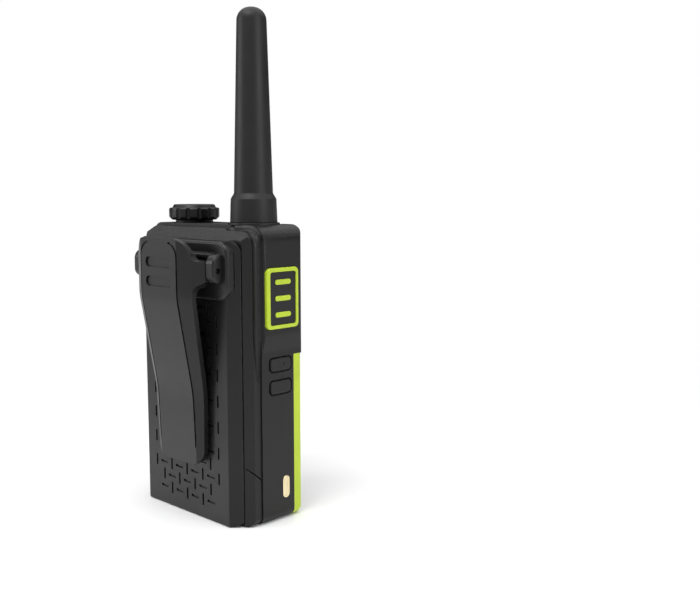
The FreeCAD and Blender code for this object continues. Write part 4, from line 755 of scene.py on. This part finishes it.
def applied(piece: bpy.types.Object, modifier: bpy.types.Modifier) -> bpy.types.Mesh:
    """Turn a piece's modifier into its mesh and remove the modifier.

    Args:
        piece: The piece.
        modifier: Its only modifier.

    Returns:
        The new mesh.
    """
    graph = bpy.context.evaluated_depsgraph_get()
    mesh = bpy.data.meshes.new_from_object(piece.evaluated_get(graph), depsgraph=graph)
    piece.modifiers.remove(modifier)
    piece.data = mesh
    return mesh


def flat_areas(work: bmesh.types.BMesh, limit: float) -> list[float]:
    """Return, for each face, the area of the flat region that it belongs to.

    Args:
        work: The mesh, with its normals and face indices up to date.
        limit: Neighbours that turn by less than this lie in one region, in degrees.

    Returns:
        One area for each face, in square millimetres.
    """
    areas = [0.0] * len(work.faces)
    seen: set[int] = set()
    cosine = math.cos(math.radians(limit))
    for first in work.faces:
        if first.index in seen:
            continue
        seen.add(first.index)
        region = [first]
        for face in region:
            for edge in face.edges:
                for other in edge.link_faces:
                    if other.index not in seen and other.normal.dot(first.normal) > cosine:
                        seen.add(other.index)
                        region.append(other)
        total = sum(face.calc_area() for face in region) / MM ** 2
        for face in region:
            areas[face.index] = total
    return areas


def flatten_shading(mesh: bpy.types.Mesh, angle: float) -> None:
    """Let large flat regions rule the shading, so that walls look flat beside small roundings.

    Args:
        mesh: The mesh.
        angle: Faces that turn by more than this don't blend, in degrees.
    """
    cosine = math.cos(math.radians(angle))
    work = bmesh.new()
    work.from_mesh(mesh)
    work.faces.ensure_lookup_table()
    areas = flat_areas(work, FLAT_TURN)
    normals = []
    for face in work.faces:
        for corner in face.loops:
            near = [f for f in corner.vert.link_faces if f.normal.dot(face.normal) > cosine]
            blend = sum((f.normal * (areas[f.index] + LEAST_AREA) for f in near), Vector())
            normals.append(blend.normalized() if blend.length > 0 else face.normal.copy())
    work.free()
    mesh.normals_split_custom_set(normals)


@dataclass
class BodyShell(Assembly):
    """The two housings, the trim ring, the front panel and the side contacts."""

    def build(self) -> None:
        """Build the shell's pieces."""
        self.mould("front_housing", BODY_BLACK)
        self.mould("rear_frame", BODY_BLACK)
        self.mould("lime_trim", LIME)
        self.mould("speaker_panel", BODY_BLACK)
        self.mould("side_contacts", GOLD)
        self.mould("lamp_guide", LENS)
        self.dress(RUBBER, "seal_ring")
        self.dress(STEEL, "housing_screws")


@dataclass
class Antenna(Assembly):
    """The moulded whip with its collar and seat ring, on a threaded stud."""

    turned: ShapeTree
    segments: int = 96
    collar_share: float = 0.112
    shoulder_share: float = 0.139
    collar_taper: float = 0.963
    whip_low: float = 6.55 * MM
    whip_high: float = 4.85 * MM
    tip_share: float = 0.9

    def build(self) -> None:
        """Build the antenna's pieces."""
        low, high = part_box("antenna_whip")
        centre = Vector(((low.x + high.x) / 2, (low.y + high.y) / 2, 0.0))
        radius = (high.x - low.x) / 2
        tall = high.z - low.z
        collar = low.z + tall * self.collar_share
        shoulder = low.z + tall * self.shoulder_share
        corners = [
            (0.0, low.z, 0.0), (radius, low.z, 0.3 * MM),
            (radius * self.collar_taper, collar, 0.8 * MM), (self.whip_low, shoulder, 1.0 * MM),
            (self.whip_high, high.z, self.whip_high * self.tip_share), (0.0, high.z, 0.0),
        ]
        line = profile_mesh("whip_line", corners, 8)
        whip = grow(self.turned, "whip", line, RUBBER, Segments=self.segments, Centre=centre)
        self.keep(whip, RUBBER, "antenna_whip")
        self.mould("antenna_flange", BODY_BLACK)
        self.dress(STEEL, "antenna_stud", "antenna_nut")


@dataclass
class VolumeControl(Assembly):
    """The fluted knob on its shaft."""

    def build(self) -> None:
        """Build the knob."""
        self.mould("volume_knob", KNOB_BLACK)
        self.dress(STEEL, "knob_shaft")


@dataclass
class TalkButton(Assembly):
    """The push-to-talk button: coloured frame, dark centre and three bars."""

    def build(self) -> None:
        """Build the button's pieces."""
        self.mould("ptt_frame", LIME)
        self.mould("ptt_insert", KEY_BLACK)
        self.mould("ptt_bars", LIME)


@dataclass
class SideKey(Assembly):
    """One of the two small side keys."""

    node: str

    def build(self) -> None:
        """Build the key."""
        self.mould(self.node, KEY_BLACK)


@dataclass
class SocketCover(Assembly):
    """The rubber cover that folds open over the sockets."""

    def build(self) -> None:
        """Build the cover."""
        self.mould("port_flap", RUBBER)


@dataclass
class BatteryPack(Assembly):
    """The battery cover with its woven back and the clip's mount."""

    def build(self) -> None:
        """Build the cover's pieces."""
        self.mould("battery_cover", COVER_BLACK)
        self.mould("clip_mount", CLIP_BLACK)
        self.mould("clip_pin", DARK_METAL)
        self.dress(STEEL, "mount_screws")


@dataclass
class ClipSpring(Assembly):
    """The torsion spring on the clip's pin, wound as real wire."""

    coil: ShapeTree
    wire: float = 0.28 * MM
    radius: float = 1.55 * MM
    turns: float = 14.0

    def build(self) -> None:
        """Build the spring."""
        low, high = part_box("clip_spring")
        pin_low, pin_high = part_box("clip_pin")
        centre = (pin_low + pin_high) / 2
        half = (high.x - low.x) / 2 - self.wire
        points = []
        for x in (-half, half):
            points += [
                (x, centre.y, centre.z - self.radius), (x, low.y + self.wire, low.z + self.wire),
                (x, centre.y + self.radius, centre.z), (x, high.y - self.wire, high.z - self.wire),
            ]
        legs = mesh_of("legs_line", points, [(0, 1), (2, 3), (4, 5), (6, 7)])
        spring = grow(self.coil, "spring_wire", legs, STEEL, Turns=self.turns, Radius=self.radius,
                      Length=2 * half, Wire_Radius=self.wire, Centre=centre)
        self.keep(spring, STEEL, "clip_spring")


@dataclass
class BeltClip(Assembly):
    """The sprung lever of the belt clip, whose bands meet its panel at a slight turn."""

    sharp: float = 20.0

    def build(self) -> None:
        """Build the lever."""
        self.mould("belt_clip", CLIP_BLACK, angle=self.sharp)


@dataclass
class BatteryBay(Assembly):
    """The cells in their bay, with their contacts."""

    turned: ShapeTree
    repeated: ShapeTree
    cells: int = 4
    segments: int = 48
    nub_radius: float = 1.9 * MM
    nub_height: float = 1.0 * MM
    band_height: float = 7.0 * MM
    sleeve_wall: float = 0.1 * MM
    band_step: float = 0.05 * MM

    def build(self) -> None:
        """Build the cells and dress the contacts."""
        low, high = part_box("battery_cells")
        radius = (high.y - low.y) / 2
        tall = high.z - low.z
        half = tall / 2
        can = half - self.nub_height
        step = (high.x - low.x - 2 * radius) / (self.cells - 1)
        middle_z = (low.z + high.z) / 2
        places = [(low.x + radius + i * step, (low.y + high.y) / 2, middle_z) for i in range(self.cells)]
        band_low = can - self.band_height
        body = [(0.0, -half, 0.0), (radius, -half, 0.5 * MM), (radius, band_low, 0.0)]
        sleeve = [*body, (radius - self.sleeve_wall, band_low, 0.0), (0.0, band_low, 0.0)]
        band = radius - self.band_step
        cap = [
            (0.0, band_low, 0.0), (band, band_low, 0.0), (band, can, 0.6 * MM),
            (self.nub_radius, can - self.band_step, 0.0), (self.nub_radius, half, 0.3 * MM),
            (0.0, half, 0.0),
        ]
        self.row("cell_sleeves", sleeve, SLEEVE, places, "battery_cells")
        self.row("cell_caps", cap, BAND, places, "battery_cells")
        self.dress(GOLD, "cell_contacts")

    def row(self, name: str, corners: Sequence[Corner], finish: Finish, places: Sequence[Sequence[float]],
            node: str) -> None:
        """Build one turned part at every cell's place.

        Args:
            name: The piece's name.
            corners: The part's profile.
            finish: Its finish.
            places: The cells' middles.
            node: The CAD node that it replaces.
        """
        line = profile_mesh(f"{name}_line", corners, 4)
        part = grow(self.turned, f"{name}_one", line, finish, Segments=self.segments)
        piece = grow(self.repeated, name, mesh_of(f"{name}_points", places), finish, Part=part)
        bpy.data.objects.remove(part)
        self.keep(piece, finish, node)


@dataclass
class Electronics(Assembly):
    """Board, shield, speaker, switches and sockets, with two small fixed parts beside them."""

    def build(self) -> None:
        """Dress the inner pieces, and mould the socket cover's fixed end and the knob's nut."""
        self.dress(BOARD, "main_board")
        self.dress(TIN, "rf_shield", "charge_socket", "knob_control", "microphone")
        self.dress(SWITCH, "ptt_switch", "key_switches", "headset_jack")
        self.dress(CONE, "speaker")
        self.mould("flap_anchor", RUBBER)
        self.mould("knob_nut", DARK_METAL)


# ------------------------------------------------------------------ studio
@dataclass(frozen=True)
class Panel:
    """One soft light panel: its name, place, side length and power in watts."""

    name: str
    place: tuple[float, float, float]
    size: float
    power: float


PANELS = (
    Panel("left_panel", (0.75, 0.75, 0.35), 0.35, 3.0),
    Panel("right_panel", (-0.95, -0.15, 0.35), 0.4, 3.0),
    Panel("high_panel", (-0.1, 0.5, 0.95), 0.5, 4.0),
)


@dataclass
class Studio:
    """The pale floor, the soft lights and the camera."""

    camera_place: Vector
    camera_way: Vector
    lens: float = 47.23
    sensor: float = 36.0
    near_clip: float = 0.01
    floor_half: float = 6.0
    floor_white: float = 0.93
    floor_gloss: float = 0.25
    fade_near: float = 0.10
    fade_far: float = 0.32
    sky_low: float = 0.35
    sky_high: float = 0.8
    sky_power: float = 1.6
    sky_least: float = 0.06
    target_height: float = 0.08

    def build(self) -> None:
        """Set up the studio."""
        self.lay_floor()
        for panel in PANELS:
            self.hang(panel)
        self.set_world()
        self.place_camera()

    def lay_floor(self) -> None:
        """Lay the pale floor under the radio."""
        half = self.floor_half
        mesh = mesh_of("floor", [(-half, -half, 0), (half, -half, 0), (half, half, 0), (-half, half, 0)],
                       faces=[(0, 1, 2, 3)])
        mesh.materials.append(self.floor_material())
        new_object("floor", mesh)

    def floor_material(self) -> bpy.types.Material:
        """Return the floor's material, which fades to plain white away from the radio."""
        made = bpy.data.materials.new("floor_white")
        made.use_nodes = True
        graph = Graph(made.node_tree)
        shader = graph.tree.nodes["Principled BSDF"]
        shader.inputs["Base Color"].default_value = (*[self.floor_white] * 3, 1.0)
        shader.inputs["Roughness"].default_value = self.floor_gloss
        shader.inputs["Specular IOR Level"].default_value = self.floor_gloss
        place = graph.node("ShaderNodeTexCoord").outputs["Object"]
        apart = graph.vector("LENGTH", place).outputs["Value"]
        white = graph.node("ShaderNodeEmission", Strength=1.0).outputs[0]
        blend = graph.node("ShaderNodeMixShader", Fac=graph.ramp(apart, self.fade_near, self.fade_far))
        graph.put(blend.inputs[1], shader.outputs[0])
        graph.put(blend.inputs[2], white)
        graph.put(graph.tree.nodes["Material Output"].inputs["Surface"], blend.outputs[0])
        return made

    def hang(self, panel: Panel) -> None:
        """Hang one soft panel that faces the radio.

        Args:
            panel: The panel.
        """
        data = bpy.data.lights.new(panel.name, "AREA")
        data.size = panel.size
        data.energy = panel.power
        lamp = bpy.data.objects.new(panel.name, data)
        bpy.context.scene.collection.objects.link(lamp)
        lamp.location = panel.place
        way = Vector((0.0, 0.0, self.target_height)) - Vector(panel.place)
        lamp.rotation_euler = way.to_track_quat("-Z", "Y").to_euler()

    def set_world(self) -> None:
        """Set a surround that is white to look at and lights the radio mostly from above."""
        world = bpy.data.worlds.new("white_surround")
        bpy.context.scene.world = world
        world.use_nodes = True
        graph = Graph(world.node_tree)
        back = graph.tree.nodes["Background"]
        back.inputs["Color"].default_value = (1.0, 1.0, 1.0, 1.0)
        way = graph.node("ShaderNodeTexCoord").outputs["Generated"]
        up = graph.node("ShaderNodeSeparateXYZ", Vector=way).outputs["Z"]
        glow = graph.math("MULTIPLY", graph.ramp(up, self.sky_low, self.sky_high), self.sky_power)
        glow = graph.math("ADD", glow, self.sky_least)
        seen = graph.node("ShaderNodeLightPath").outputs["Is Camera Ray"]
        graph.put(back.inputs["Strength"], graph.math("MAXIMUM", glow, seen))
        bpy.context.scene.view_settings.view_transform = "Standard"

    def place_camera(self) -> None:
        """Place the camera."""
        data = bpy.data.cameras.new("camera")
        data.sensor_width = self.sensor
        data.lens = self.lens
        data.clip_start = self.near_clip
        camera = bpy.data.objects.new("camera", data)
        bpy.context.scene.collection.objects.link(camera)
        camera.location = self.camera_place
        camera.rotation_euler = self.camera_way.to_track_quat("-Z", "Y").to_euler()
        bpy.context.scene.camera = camera


def assemblies() -> Iterable[Assembly]:
    """Give the radio's assemblies in building order.

    Yields:
        Each assembly.
    """
    turned = turned_tree()
    coil = coil_tree()
    repeated = repeat_tree()
    yield BodyShell("housing")
    yield Antenna("housing", turned)
    yield VolumeControl("volume_knob")
    yield TalkButton("ptt_button")
    yield SideKey("upper_key", "key_upper")
    yield SideKey("lower_key", "key_lower")
    yield SocketCover("socket_cover")
    yield BatteryPack("back_cover")
    yield ClipSpring("back_cover", coil)
    yield BeltClip("clip_lever")
    yield BatteryBay("housing", turned, repeated)
    yield Electronics("housing")


def main() -> None:
    """Build the radio's looks and its studio."""
    logging.basicConfig(level=logging.INFO, format="%(name)s: %(message)s")
    for assembly in assemblies():
        assembly.build()
    Studio(Vector(CAMERA_PLACE), Vector(CAMERA_WAY)).build()


if __name__ == "__main__":
    main()
